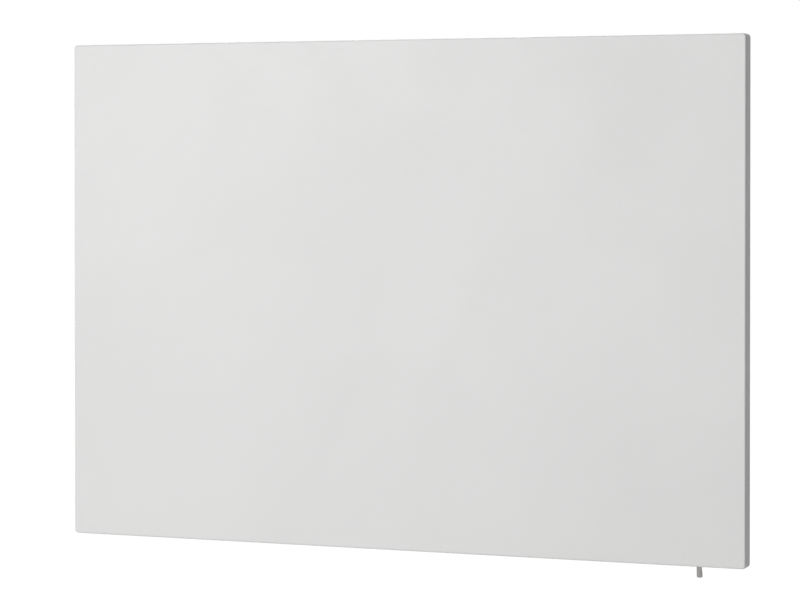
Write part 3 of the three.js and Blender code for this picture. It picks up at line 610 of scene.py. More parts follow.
class SharedGroups:
    """The node groups that the finishes share. Each is built once, when first asked for."""

    def __init__(self) -> None:
        """Starts with no group built."""
        self.built: dict[str, bpy.types.NodeTree] = {}

    def _open(self, name: str, inputs: Sequence[tuple[str, str, Any]],
              outputs: Sequence[str]) -> tuple[Graph, Any, Any]:
        """Makes an empty group.

        Args:
            name: The group's name.
            inputs: Name, socket type and first value of each input.
            outputs: The names of its outputs, each a value.

        Returns:
            A graph of the group, its input node and its output node.
        """
        tree = bpy.data.node_groups.new(name, "ShaderNodeTree")
        for label, kind, value in inputs:
            socket = tree.interface.new_socket(label, in_out="INPUT", socket_type=kind)
            if value is not None:
                socket.default_value = value
        for label in outputs:
            tree.interface.new_socket(label, in_out="OUTPUT", socket_type="NodeSocketFloat")
        graph = Graph(tree)
        self.built[name] = tree
        return graph, graph.put("NodeGroupInput"), graph.put("NodeGroupOutput")

    def relief(self, kind: Relief) -> bpy.types.NodeTree:
        """Gives the group of one kind of relief.

        Args:
            kind: The relief.

        Returns:
            Its node group, with inputs Vector and Scale and outputs Height and Mask.
        """
        if kind.value in self.built:
            return self.built[kind.value]
        graph, given, result = self._open(
            kind.value,
            [("Vector", "NodeSocketVector", None), ("Scale", "NodeSocketFloat", 100.0)],
            ["Height", "Mask"])
        vector, scale = given.outputs["Vector"], given.outputs["Scale"]
        height, mask = getattr(self, f"_{kind.name.lower()}")(graph, vector, scale)
        graph.tree.links.new(height, result.inputs["Height"])
        graph.tree.links.new(mask, result.inputs["Mask"])
        return graph.tree

    def _peel(self, graph: Graph, vector: Any, scale: Any) -> tuple[Any, Any]:
        """Wires the fine orange peel of baked powder; returns height and mask."""
        fine = graph.noise(vector, scale, 1.0)
        coarse = graph.noise(vector, graph.math("MULTIPLY", scale, 0.22), 2.0)
        height = graph.math("ADD", graph.math("MULTIPLY", fine, 0.6), coarse)
        return height, graph.spread(coarse, 0.35, 0.65)

    def _spangle(self, graph: Graph, vector: Any, scale: Any) -> tuple[Any, Any]:
        """Wires the crystals of hot-dip zinc; returns height and mask."""
        bent = graph.put("ShaderNodeTexNoise", {"Vector": vector, "Scale": scale,
                                                "Detail": 3.0})
        pushed = graph.put("ShaderNodeVectorMath", {
            0: bent.outputs["Color"], 1: (0.006, 0.006, 0.006)}, operation="MULTIPLY")
        place = graph.put("ShaderNodeVectorMath", {
            0: vector, 1: pushed.outputs[0]}, operation="ADD")
        cells = graph.put("ShaderNodeTexVoronoi", {"Vector": place.outputs[0],
                                                   "Scale": scale})
        tone = graph.put("ShaderNodeSeparateColor", {0: cells.outputs["Color"]})
        feathers = graph.noise(place.outputs[0], graph.math("MULTIPLY", scale, 5.0), 3.0, 1.5)
        mask = graph.math("ADD", graph.math("MULTIPLY", tone.outputs[0], 0.75),
                          graph.math("MULTIPLY", feathers, 0.25))
        height = graph.math("ADD", graph.math("MULTIPLY", cells.outputs["Distance"], 0.6),
                            graph.math("MULTIPLY", feathers, 0.3))
        return height, mask

    def _drawn(self, graph: Graph, vector: Any, scale: Any) -> tuple[Any, Any]:
        """Wires lines left along X by rolling or drawing; returns height and mask."""
        pulled = graph.put("ShaderNodeMapping", {"Vector": vector, "Scale": (0.03, 1, 1)})
        lines = graph.noise(pulled.outputs[0], scale, 4.0)
        broad = graph.noise(pulled.outputs[0], graph.math("MULTIPLY", scale, 0.15), 2.0)
        height = graph.math("ADD", lines, graph.math("MULTIPLY", broad, 0.5))
        return height, graph.spread(lines, 0.3, 0.7)

    def _turned(self, graph: Graph, vector: Any, scale: Any) -> tuple[Any, Any]:
        """Wires the rings that a lathe leaves along Z; returns height and mask."""
        pulled = graph.put("ShaderNodeMapping", {"Vector": vector,
                                                 "Scale": (0.06, 0.06, 1)})
        rings = graph.noise(pulled.outputs[0], scale, 3.0)
        stains = graph.noise(vector, graph.math("MULTIPLY", scale, 0.1), 3.0)
        return rings, graph.spread(stains, 0.35, 0.7)

    def _grain(self, graph: Graph, vector: Any, scale: Any) -> tuple[Any, Any]:
        """Wires the eroded grain of a moulding tool; returns height and mask."""
        cells = graph.put("ShaderNodeTexVoronoi", {"Vector": vector, "Scale": scale},
                          feature="SMOOTH_F1")
        pits = graph.noise(vector, graph.math("MULTIPLY", scale, 0.5), 3.0)
        height = graph.math("ADD", graph.math("MULTIPLY", cells.outputs["Distance"], 0.7),
                            graph.math("MULTIPLY", pits, 0.6))
        return height, graph.spread(pits, 0.3, 0.7)

    def _crumple(self, graph: Graph, vector: Any, scale: Any) -> tuple[Any, Any]:
        """Wires the creases of a foil; returns height and mask."""
        facets = graph.put("ShaderNodeTexVoronoi", {"Vector": vector, "Scale": scale},
                           feature="DISTANCE_TO_EDGE")
        swell = graph.noise(vector, graph.math("MULTIPLY", scale, 1.7), 4.0, 1.0)
        height = graph.math("ADD", facets.outputs["Distance"],
                            graph.math("MULTIPLY", swell, 0.5))
        return height, graph.spread(swell, 0.3, 0.7)

    def _fibre(self, graph: Graph, vector: Any, scale: Any) -> tuple[Any, Any]:
        """Wires felted strands that lie two ways; returns height and mask."""
        across = graph.put("ShaderNodeMapping", {"Vector": vector, "Scale": (0.12, 1, 1)})
        upward = graph.put("ShaderNodeMapping", {"Vector": vector, "Scale": (1, 1, 0.12)})
        strands = graph.math("MAXIMUM",
                             graph.noise(across.outputs[0], scale, 4.0, 0.6),
                             graph.noise(upward.outputs[0], scale, 4.0, 0.6))
        return strands, graph.spread(strands, 0.45, 0.75)

    def _print(self, graph: Graph, vector: Any, scale: Any) -> tuple[Any, Any]:
        """Wires bands of conductive ink that lie along X; returns height and mask."""
        bands = graph.put("ShaderNodeTexWave", {"Vector": vector, "Scale": scale,
                                                "Distortion": 0.0},
                          bands_direction="Z", wave_profile="SIN")
        ink = graph.noise(vector, graph.math("MULTIPLY", scale, 20.0), 3.0)
        mask = graph.spread(bands.outputs["Fac"], 0.3, 0.4)
        return graph.math("ADD", mask, graph.math("MULTIPLY", ink, 0.1)), mask

    def drift(self) -> bpy.types.NodeTree:
        """Gives the group for slow changes of tone: Vector and Scale to Mask."""
        name = "slow drift"
        if name not in self.built:
            graph, given, result = self._open(
                name, [("Vector", "NodeSocketVector", None),
                       ("Scale", "NodeSocketFloat", 6.0)], ["Mask"])
            soft = graph.noise(given.outputs["Vector"], given.outputs["Scale"], 3.0, 0.4)
            graph.tree.links.new(graph.spread(soft, 0.3, 0.7), result.inputs["Mask"])
        return self.built[name]

    def wear(self) -> bpy.types.NodeTree:
        """Gives the group for rubbed edges: Vector, Scale and Amount to Mask."""
        name = "rubbed edges"
        if name not in self.built:
            graph, given, result = self._open(
                name, [("Vector", "NodeSocketVector", None),
                       ("Scale", "NodeSocketFloat", 90.0),
                       ("Amount", "NodeSocketFloat", 0.5)], ["Mask"])
            shape = graph.put("ShaderNodeNewGeometry").outputs["Pointiness"]
            ridge = graph.spread(shape, 0.52, 0.6)
            patches = graph.noise(given.outputs["Vector"], given.outputs["Scale"], 5.0)
            broken = graph.math("MULTIPLY", ridge, graph.spread(patches, 0.45, 0.62))
            mask = graph.math("MULTIPLY", broken, given.outputs["Amount"])
            graph.tree.links.new(mask, result.inputs["Mask"])
        return self.built[name]

    def dust(self) -> bpy.types.NodeTree:
        """Gives the group for settled dust: Vector, Scale and Amount to Mask."""
        name = "settled dust"
        if name not in self.built:
            graph, given, result = self._open(
                name, [("Vector", "NodeSocketVector", None),
                       ("Scale", "NodeSocketFloat", 40.0),
                       ("Amount", "NodeSocketFloat", 0.3)], ["Mask"])
            normal = graph.put("ShaderNodeNewGeometry").outputs["Normal"]
            upward = graph.put("ShaderNodeSeparateXYZ", {0: normal}).outputs["Z"]
            facing = graph.spread(upward, 0.35, 1.0)
            patches = graph.noise(given.outputs["Vector"], given.outputs["Scale"], 4.0)
            mask = graph.math("MULTIPLY", graph.math("MULTIPLY", facing, patches),
                              given.outputs["Amount"])
            graph.tree.links.new(mask, result.inputs["Mask"])
        return self.built[name]


GROUPS = SharedGroups()
DUST_COLOUR: Colour = (0.42, 0.40, 0.37)
DUST_ROUGHNESS = 0.4  # what full dust adds to the roughness
COAT_ROUGHNESS = 0.2
WAVE_SCALE = 3.5  # the sheet's broad waves, per metre


@dataclass(frozen=True)
class Finish:
    """A surface finish of the heater.

    Attributes:
        slot: The record's material slot.
        colour: The main tone.
        second: The tone that it drifts to.
        relief: The kind of small relief.
        relief_scale: The relief's scale, in cells per metre.
        relief_depth: The height of the relief, in metres.
        relief_tone: How strongly the relief's mask mixes in the relief colour.
        relief_colour: The colour that shows in the relief.
        roughness: The lowest and highest roughness.
        metallic: 1 for bare metal.
        drift_scale: The scale of the slow change of tone.
        worn: The colour of rubbed edges.
        wear: How strongly edges are rubbed.
        dust: How much dust lies on top faces.
        coat: The weight of a clear coat.
        wave: The height of a broad wave of the sheet, in metres.
    """

    slot: str
    colour: Colour
    second: Colour
    relief: Relief
    relief_scale: float
    relief_depth: float
    relief_tone: float
    relief_colour: Colour
    roughness: tuple[float, float]
    metallic: float = 0.0
    drift_scale: float = 6.0
    worn: Colour = (0.6, 0.6, 0.6)
    wear: float = 0.3
    dust: float = 0.1
    coat: float = 0.0
    wave: float = 0.0

    def material(self) -> bpy.types.Material:
        """Gives the finish's material, built when it is first asked for.

        Returns:
            The material.
        """
        made = bpy.data.materials.get(self.slot + "_finish")
        if made:
            return made
        made = bpy.data.materials.new(self.slot + "_finish")
        made.use_nodes = True
        made.node_tree.nodes.clear()
        graph = Graph(made.node_tree)
        place = graph.put("ShaderNodeTexCoord").outputs["Object"]
        relief = self._group(graph, GROUPS.relief(self.relief), place, self.relief_scale)
        drift = self._group(graph, GROUPS.drift(), place, self.drift_scale)
        wear = self._group(graph, GROUPS.wear(), place, amount=self.wear)
        dust = self._group(graph, GROUPS.dust(), place, amount=self.dust)
        tone = graph.blend(drift.outputs["Mask"], self.colour, self.second)
        strength = graph.math("MULTIPLY", relief.outputs["Mask"], self.relief_tone)
        tone = graph.blend(strength, tone, self.relief_colour)
        tone = graph.blend(wear.outputs["Mask"], tone, self.worn)
        tone = graph.blend(dust.outputs["Mask"], tone, DUST_COLOUR)
        low, high = self.roughness
        mixed = graph.math("ADD", graph.math("MULTIPLY", relief.outputs["Mask"], 0.5),
                           graph.math("MULTIPLY", drift.outputs["Mask"], 0.5))
        rough = graph.math("ADD", graph.spread(mixed, 0.0, 1.0, low, high),
                           graph.math("MULTIPLY", dust.outputs["Mask"], DUST_ROUGHNESS))
        shader = graph.put("ShaderNodeBsdfPrincipled", {
            "Base Color": tone, "Roughness": rough, "Metallic": self.metallic,
            "Coat Weight": self.coat, "Coat Roughness": COAT_ROUGHNESS,
            "Normal": self._normal(graph, relief, place)})
        graph.put("ShaderNodeOutputMaterial", {"Surface": shader.outputs[0]})
        return made

    def _group(self, graph: Graph, tree: bpy.types.NodeTree, place: Any,
               scale: float | None = None, amount: float | None = None) -> bpy.types.Node:
        """Places a shared group with this finish's own values.

        Args:
            graph: The material's graph.
            tree: The shared group.
            place: The coordinates.
            scale: The group's scale, or its own where there is none.
            amount: The group's amount, where it has one.

        Returns:
            The group's node.
        """
        node = graph.put("ShaderNodeGroup", node_tree=tree)
        graph.tree.links.new(place, node.inputs["Vector"])
        if scale is not None:
            node.inputs["Scale"].default_value = scale
        if amount is not None:
            node.inputs["Amount"].default_value = amount
        return node

    def _normal(self, graph: Graph, relief: bpy.types.Node, place: Any) -> Any:
        """Wires the small relief over the broad wave of the sheet.

        Args:
            graph: The material's graph.
            relief: The relief group's node.
            place: The coordinates.

        Returns:
            The normal's socket.
        """
        fine = graph.put("ShaderNodeBump", {
            "Height": relief.outputs["Height"], "Distance": self.relief_depth,
            "Strength": 1.0})
        if self.wave:
            broad = graph.put("ShaderNodeBump", {
                "Height": graph.noise(place, WAVE_SCALE, 1.0), "Distance": self.wave,
                "Strength": 1.0})
            graph.tree.links.new(broad.outputs[0], fine.inputs["Normal"])
        return fine.outputs[0]


def plastic_lead(slot: str, colour: Colour, second: Colour) -> Finish:
    """Gives the finish of a lead's insulation.

    Args:
        slot: The record's slot.
        colour: The main tone.
        second: The tone that it drifts to.

    Returns:
        The finish.
    """
    return Finish(slot, colour, second, Relief.GRAIN, 2500, 0.00001, 0.15,
                  second, (0.35, 0.5), drift_scale=30, wear=0.0, dust=0.0)


FINISHES: dict[str, Finish] = {finish.slot: finish for finish in (
    Finish("white_enamel", (0.80, 0.80, 0.795), (0.785, 0.785, 0.78), Relief.PEEL, 1400,
           0.000006, 0.06, (0.76, 0.76, 0.755), (0.40, 0.50), drift_scale=5,
           worn=(0.70, 0.70, 0.70), wear=0.15, dust=0.05, wave=0.00025),
    Finish("galvanised_sheet", (0.40, 0.415, 0.425), (0.35, 0.365, 0.375), Relief.SPANGLE,
           85, 0.00004, 0.5, (0.54, 0.555, 0.57), (0.34, 0.52), metallic=1.0,
           worn=(0.66, 0.67, 0.68), wear=0.5, dust=0.25),
    Finish("zinc_steel", (0.50, 0.52, 0.55), (0.43, 0.45, 0.48), Relief.TURNED, 2400,
           0.00001, 0.35, (0.34, 0.36, 0.40), (0.22, 0.38), metallic=1.0, drift_scale=60,
           worn=(0.74, 0.75, 0.77), wear=0.7, dust=0.2),
    Finish("nickel_plate", (0.29, 0.286, 0.278), (0.25, 0.247, 0.24), Relief.TURNED, 3200,
           0.000006, 0.25, (0.18, 0.177, 0.17), (0.18, 0.32), metallic=1.0, drift_scale=80,
           worn=(0.45, 0.44, 0.42), wear=0.4, dust=0.1),
    Finish("copper_strip", (0.78, 0.40, 0.22), (0.62, 0.28, 0.15), Relief.DRAWN, 1600,
           0.00001, 0.3, (0.42, 0.20, 0.12), (0.25, 0.45), metallic=1.0, drift_scale=25,
           worn=(0.90, 0.55, 0.35)),
    Finish("bare_aluminium", (0.80, 0.81, 0.82), (0.72, 0.73, 0.75), Relief.CRUMPLE, 60,
           0.00015, 0.25, (0.62, 0.63, 0.65), (0.18, 0.35), metallic=1.0,
           worn=(0.88, 0.89, 0.90)),
    Finish("grey_moulding", (0.50, 0.51, 0.51), (0.46, 0.47, 0.475), Relief.GRAIN, 1800,
           0.00002, 0.2, (0.40, 0.41, 0.415), (0.42, 0.58), drift_scale=18,
           worn=(0.60, 0.61, 0.61), wear=0.5, dust=0.3),
    Finish("black_moulding", (0.022, 0.022, 0.024), (0.032, 0.032, 0.034), Relief.GRAIN,
           2200, 0.00001, 0.3, (0.05, 0.05, 0.052), (0.25, 0.40), drift_scale=30,
           worn=(0.10, 0.10, 0.10)),
    Finish("black_rubber", (0.018, 0.018, 0.018), (0.030, 0.029, 0.028), Relief.GRAIN, 900,
           0.00003, 0.4, (0.06, 0.058, 0.055), (0.65, 0.85), drift_scale=40,
           worn=(0.09, 0.088, 0.085), wear=0.5, dust=0.35),
    Finish("white_porcelain", (0.78, 0.75, 0.68), (0.74, 0.70, 0.62), Relief.PEEL, 600,
           0.00001, 0.15, (0.60, 0.55, 0.46), (0.12, 0.25), drift_scale=40,
           worn=(0.82, 0.80, 0.76), coat=0.5),
    Finish("mineral_board", (0.62, 0.57, 0.44), (0.55, 0.50, 0.38), Relief.FIBRE, 420,
           0.00012, 0.5, (0.72, 0.69, 0.60), (0.85, 0.98), drift_scale=12,
           worn=(0.70, 0.67, 0.58)),
    Finish("amber_film", (0.45, 0.22, 0.04), (0.38, 0.17, 0.03), Relief.CRUMPLE, 30,
           0.00005, 0.15, (0.55, 0.30, 0.08), (0.15, 0.28), drift_scale=10, coat=0.4),
    Finish("carbon_film", (0.020, 0.020, 0.022), (0.028, 0.028, 0.030), Relief.PRINT, 22,
           0.00002, 0.85, (0.26, 0.15, 0.05), (0.35, 0.6), drift_scale=14),
    plastic_lead("black_lead", (0.02, 0.02, 0.022), (0.035, 0.035, 0.037)),
    plastic_lead("brown_lead", (0.16, 0.07, 0.03), (0.12, 0.05, 0.02)),
    plastic_lead("blue_lead", (0.03, 0.10, 0.34), (0.02, 0.08, 0.27)),
    Finish("green_lead", (0.07, 0.26, 0.05), (0.05, 0.20, 0.04), Relief.PRINT, 26,
           0.000005, 0.9, (0.66, 0.58, 0.06), (0.35, 0.5), drift_scale=30, wear=0.0,
           dust=0.0),
)}


# ---------- Sub-assemblies ----------


class NodeBook:
    """Knows each node's body and slot, and which nodes still show their own mesh."""

    def __init__(self, record: dict[str, Any]) -> None:
        """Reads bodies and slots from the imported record."""
        bodies = record["behaviour"]["bodies"]
        self.body = {node: body for body, nodes in bodies.items() for node in nodes}
        self.slot = {part["node"]: part["material_slot"] for part in record["subparts"]}
        self.plain = set(self.body)

    def enter(self, piece: Piece, node: str) -> Piece:
        """Lets a finished piece stand for its node.

        Args:
            piece: The piece, in its place.
            node: The node that it replaces.

        Returns:
            The piece.
        """
        finish = FINISHES[self.slot[node]]
        piece.data.materials.clear()
        piece.data.materials.append(finish.material())
        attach(piece, self.body[node])
        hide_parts(node)
        self.plain.discard(node)
        LOG.info("%s stands for %s, %d faces", piece.name, node, len(piece.data.polygons))
        return piece

    def dress_plain_nodes(self) -> None:
        """Gives each node that keeps its own mesh its finish."""
        for node in sorted(self.plain):
            thing = frame["nodes"][node]
            finish = FINISHES[self.slot[node]]
            thing.data.materials.clear()
            thing.data.materials.append(finish.material())
            LOG.info("%s keeps its mesh, in %s", node, finish.slot)


def piece_name(node: str) -> str:
    """Gives the name of the piece that stands for a node."""
    return f"{node}_piece"


def middle(node: str) -> Vector:
    """Gives the centre of a node's box."""
    low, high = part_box(node)
    return (low + high) / 2


@dataclass
class PanelShell:
    """The folded steel tray and the sheet that closes its rear."""

    sheet: float = 1.0 * MM
    corner: float = 4.5 * MM
    edge: float = 2.0 * MM
    flange: float = 16.0 * MM
    window_corner: float = 6.0 * MM
    mitre: float = 0.3 * MM
    cover_sheet: float = 0.8 * MM
    cover_corner: float = 6.0 * MM
    bead_count: int = 3
    bead_pitch: float = 78.0 * MM
    bead_length: float = 660.0 * MM
    bead_width: float = 16.0 * MM
    bead_slope: float = 3.0 * MM
    bead_crown: float = 1.0 * MM
    bead_foot: float = 0.9 * MM
    bead_end_slack: float = 0.05 * MM
    mitre_share: float = 0.98
    edge_break: float = 0.12 * MM

    def build(self, book: NodeBook) -> None:
        """Builds both sheets and enters them."""
        book.enter(self.tray(), "front_panel")
        book.enter(self.cover(), "rear_cover")

    def tray(self) -> Piece:
        """Makes the tray with its return flange and mitred corners.

        Returns:
            The tray.
        """
        low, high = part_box("front_panel")
        wall = Vector((self.sheet,) * 3)
        tray = rounded_block(piece_name("front_panel"), low, high, self.corner, self.edge,
                             corner_steps=12, edge_steps=8)
        hollow = rounded_block("hollow", low + wall, high - wall, self.corner - self.sheet,
                               self.edge - self.sheet, corner_steps=12, edge_steps=8)
        inset = Vector((self.flange, 0, self.flange))
        window_low = low + inset
        window_low.y = high.y - 2 * self.sheet
        window_high = high - inset + Vector((0, self.sheet, 0))
        window = rounded_block("window", window_low, window_high, self.window_corner, 0)
        cut(tray, hollow, window, *self._mitres(low, high))
        return shade(soften(tray, self.edge_break, 2, 60), 30)

    def _mitres(self, low: Vector, high: Vector) -> list[Piece]:
        """Makes the cutters of the thin joints where the flanges meet.

        Args:
            low: The tray's lowest corner.
            high: Its highest corner.

        Returns:
            Four thin blocks, each turned along its corner's diagonal.
        """
        tools = []
        reach = (self.flange - self.edge) * math.sqrt(2)
        for x, side in ((low.x, 1), (high.x, -1)):
            for z, rise in ((low.z, 1), (high.z, -1)):
                inward = (self.flange + self.edge) / 2
                centre = Vector((x + side * inward, high.y, z + rise * inward))
                half = Vector((reach / 2, self.sheet * self.mitre_share, self.mitre / 2))
                tools.append(start_block("mitre", centre - half, centre + half,
                                         -side * rise * QUARTER_TURN / 2))
        return tools

    def cover(self) -> Piece:
        """Makes the rear cover with its pressed beads.

        Returns:
            The cover.
        """
        low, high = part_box("rear_cover")
        face = low.y + self.cover_sheet
        cover = rounded_block(piece_name("rear_cover"), low,
                              Vector((high.x, face, high.z)), self.cover_corner, 0,
                              corner_steps=12)
        centre = middle("rear_cover")
        for i in range(self.bead_count):
            rise = (i - (self.bead_count - 1) / 2) * self.bead_pitch
            place = centre.x, centre.z + rise
            fuse(cover, self._bead(*place, face, high.y))
            cut(cover, self._bead(*place, low.y, high.y - self.cover_sheet))
        foot_x = self.bead_length / 2 + self.bead_width
        foot_z = self.bead_pitch * self.bead_count / 2
        with editing(cover):
            pick_edges(cover, both(on_level(Axis.Y, face), lambda a, b: (
                abs(a.x - centre.x) < foot_x and abs(a.z - centre.z) < foot_z)))
            bevel(self.bead_foot, 4)
        return shade(cover, 30)

    def _bead(self, x: float, z: float, face: float, crown: float) -> Piece:
        """Makes the raised form of one bead, with sloped flanks and round ends.

        Args:
            x: The bead's centre on X.
            z: Its centre on Z.
            face: The sheet's face that the bead rises from.
            crown: The level of the bead's top.

        Returns:
            The bead's solid, which starts a little under that face.
        """
        half = Vector((self.bead_length / 2, 0, self.bead_width / 2))
        low = Vector((x, face - self.cover_sheet / 2, z)) - half
        high = Vector((x, crown, z)) + half
        bead = rounded_block("bead", low, high, self.bead_width / 2 - self.bead_end_slack, 0,
                             corner_steps=10)
        slope = 2 * self.bead_slope
        with editing(bead):
            pick_faces(bead, lambda centre, normal: normal.y > FACING)
            bpy.ops.transform.resize(value=(
                (self.bead_length - slope) / self.bead_length, 1,
                (self.bead_width - slope) / self.bead_width))
            pick_edges(bead, on_level(Axis.Y, crown))
            bevel(self.bead_crown, 4)
        return bead


@dataclass
class ScrewSet:
    """The pan head screws that show. Each size is modelled once and copied.

    The ratios of the shank are to its radius, and those of the head to its own radius
    or height.
    """

    sizes: tuple[tuple[str, int, float], ...] = (
        ("cover_screw", 8, 1.6 * MM), ("hanger_screw", 4, 2.0 * MM),
        ("lid_screw", 4, 1.25 * MM))
    first_turn: float = 17.0
    next_turn: float = 53.0
    head_ratio: float = 2.0
    head_height_ratio: float = 1.25
    head_foot_ratio: float = 0.96
    rim_low_ratio: float = 0.93
    dome_ratio: float = 0.62
    dome_angles: tuple[float, ...] = (78, 66, 54, 42, 30, 18, 8)
    recess_ratio: float = 1.15
    recess_width_ratio: float = 0.26
    recess_depth_ratio: float = 0.72
    recess_foot_ratio: float = 0.5
    pitch_ratio: float = 0.42
    thread_depth_ratio: float = 0.18
    thread_start_ratio: float = 1.1
    thread_end_ratio: float = 0.4
    neck_ratio: float = 0.86
    point_ratio: float = 0.35
    point_foot_ratio: float = 0.8
    edge_break_ratio: float = 0.03

    def build(self, book: NodeBook) -> None:
        """Builds the screws of each size and enters them."""
        for prefix, count, radius in self.sizes:
            nodes = [f"{prefix}_{i + 1}" for i in range(count)]
            low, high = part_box(nodes[0])
            model = self.screw(radius, high.y - low.y)
            for i, node in enumerate(nodes):
                place = middle(node)
                turn = Matrix.Rotation(math.radians(self.first_turn + self.next_turn * i),
                                       4, "Z")
                lay = shifted(place.x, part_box(node)[1].y, place.z, -90) @ turn
                book.enter(copied(model, piece_name(node), lay), node)
            bpy.data.objects.remove(model)

    def screw(self, radius: float, length: float) -> Piece:
        """Makes a screw along Z with the top of its head at 0.

        Args:
            radius: The thread's radius.
            length: The whole length with the head.

        Returns:
            The screw.
        """
        head = self.head_ratio * radius
        height = self.head_height_ratio * radius
        dome = self.dome_ratio * height
        crown = [(head * math.sin(angle), -dome * (1 - math.cos(angle)))
                 for angle in map(math.radians, self.dome_angles)]
        profile = [
            (0, -length), (self.point_ratio * radius, -length),
            (self.point_foot_ratio * radius, -length + radius),
            *thread(radius, self.thread_depth_ratio * radius, self.pitch_ratio * radius,
                    -length + self.thread_start_ratio * radius,
                    -height - self.thread_end_ratio * radius),
            (self.neck_ratio * radius, -height), (head * self.head_foot_ratio, -height),
            (head, -height * self.rim_low_ratio), (head, -dome), *crown, (0, 0),
        ]
        screw = turned("screw", profile, SMALL_TURN_STEPS)
        cut(screw, self._cross(head, height))
        return shade(soften(screw, self.edge_break_ratio * radius, 1, 60), 30)

    def _cross(self, head: float, height: float) -> Piece:
        """Makes the cutter of the cross recess, narrower at its foot.

        Args:
            head: The head's radius.
            height: The head's height.

        Returns:
            The cutter.
        """
        reach = self.recess_ratio * head / 2
        width = self.recess_width_ratio * head / 2
        depth = self.recess_depth_ratio * height
        foot = self.recess_foot_ratio
        arms = []
        for half_x, half_y in ((reach, width), (width, reach)):
            arm = start_block("arm", Vector((-half_x, -half_y, -depth)),
                              Vector((half_x, half_y, height / 2)))
            with editing(arm):
                pick_faces(arm, lambda centre, normal: normal.z < -FACING)
                bpy.ops.transform.resize(value=(foot, foot, 1))
            arms.append(arm)
        return fuse(*arms)


@dataclass
class WallRail:
    """The folded rail that is screwed to the wall."""

    sheet: float = 2.0 * MM
    inner_bend: float = 1.5 * MM
    lip_height: float = 14.0 * MM
    slot_length: float = 14.0 * MM
    slot_width: float = 6.4 * MM
    slot_spacings: tuple[float, float] = (150.0 * MM, 480.0 * MM)
    notch_width: float = 42.0 * MM
    notch_depth: float = 4.0 * MM
    notch_round: float = 1.5 * MM
    end_round: float = 3.0 * MM
    slot_end_slack: float = 0.02 * MM
    edge_break: float = 0.2 * MM

    def build(self, book: NodeBook) -> None:
        """Builds the rail and enters it."""
        low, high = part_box("wall_rail")
        shelf = high.z - self.lip_height
        lip = low.y + self.sheet
        rail = self._strip(low, high, shelf, lip)
        thicken(rail, self.sheet)
        self._round_ends(rail, low, high)
        cut(rail, *self._notches(low, high), *self._slots())
        book.enter(shade(soften(rail, self.edge_break, 2, 50), 30), "wall_rail")

    def _strip(self, low: Vector, high: Vector, shelf: float, lip: float) -> Piece:
        """Folds the rail's wall side as a thin strip.

        Args:
            low: The rail's lowest corner.
            high: Its highest corner.
            shelf: The level of the shelf's top.
            lip: The place of the lip's wall side on Y.

        Returns:
            The strip.
        """
        strip = start_sheet(piece_name("wall_rail"), Vector((0, 0, (low.z + shelf) / 2)),
                            high.x - low.x, shelf - low.z)
        with editing(strip):
            pick_edges(strip, on_level(Axis.Z, shelf))
            extrude_edges((0, lip, 0))
            extrude_edges((0, 0, self.lip_height))
            for fold, bend in ((0, self.inner_bend + self.sheet), (lip, self.inner_bend)):
                pick_edges(strip, both(on_level(Axis.Z, shelf), on_level(Axis.Y, fold)))
                bevel(bend, 6)
        return strip

    def _round_ends(self, rail: Piece, low: Vector, high: Vector) -> None:
        """Rounds the free corners at both ends of the rail.

        Args:
            rail: The rail.
            low: Its lowest corner.
            high: Its highest corner.
        """
        with editing(rail):
            for x in (low.x, high.x):
                for z in (low.z, high.z):
                    pick_edges(rail, both(on_level(Axis.X, x), on_level(Axis.Z, z)))
                    bevel(self.end_round, 5)

    def _notches(self, low: Vector, high: Vector) -> list[Piece]:
        """Makes the cutters of the two notches that the hangers rest in.

        Args:
            low: The rail's lowest corner.
            high: Its highest corner.

        Returns:
            The cutters.
        """
        tools = []
        for hanger in ("hanger_left", "hanger_right"):
            x = middle(hanger).x
            half = self.notch_width / 2
            tools.append(rounded_block(
                "notch",
                Vector((x - half, low.y - self.sheet, high.z - self.notch_depth)),
                Vector((x + half, low.y + 2 * self.sheet, high.z + 3 * self.notch_depth)),
                self.notch_round, 0))
        return tools

    def _slots(self) -> list[Piece]:
        """Makes the cutters of the slots for the wall screws."""
        tools = []
        half = Vector((self.slot_length / 2, 2 * self.sheet, self.slot_width / 2))
        end_round = self.slot_width / 2 - self.slot_end_slack
        for spacing in self.slot_spacings:
            for side in (-1, 1):
                centre = Vector((side * spacing / 2, 0, 0))
                tools.append(rounded_block("slot", centre - half, centre + half,
                                           end_round, 0))
        return tools


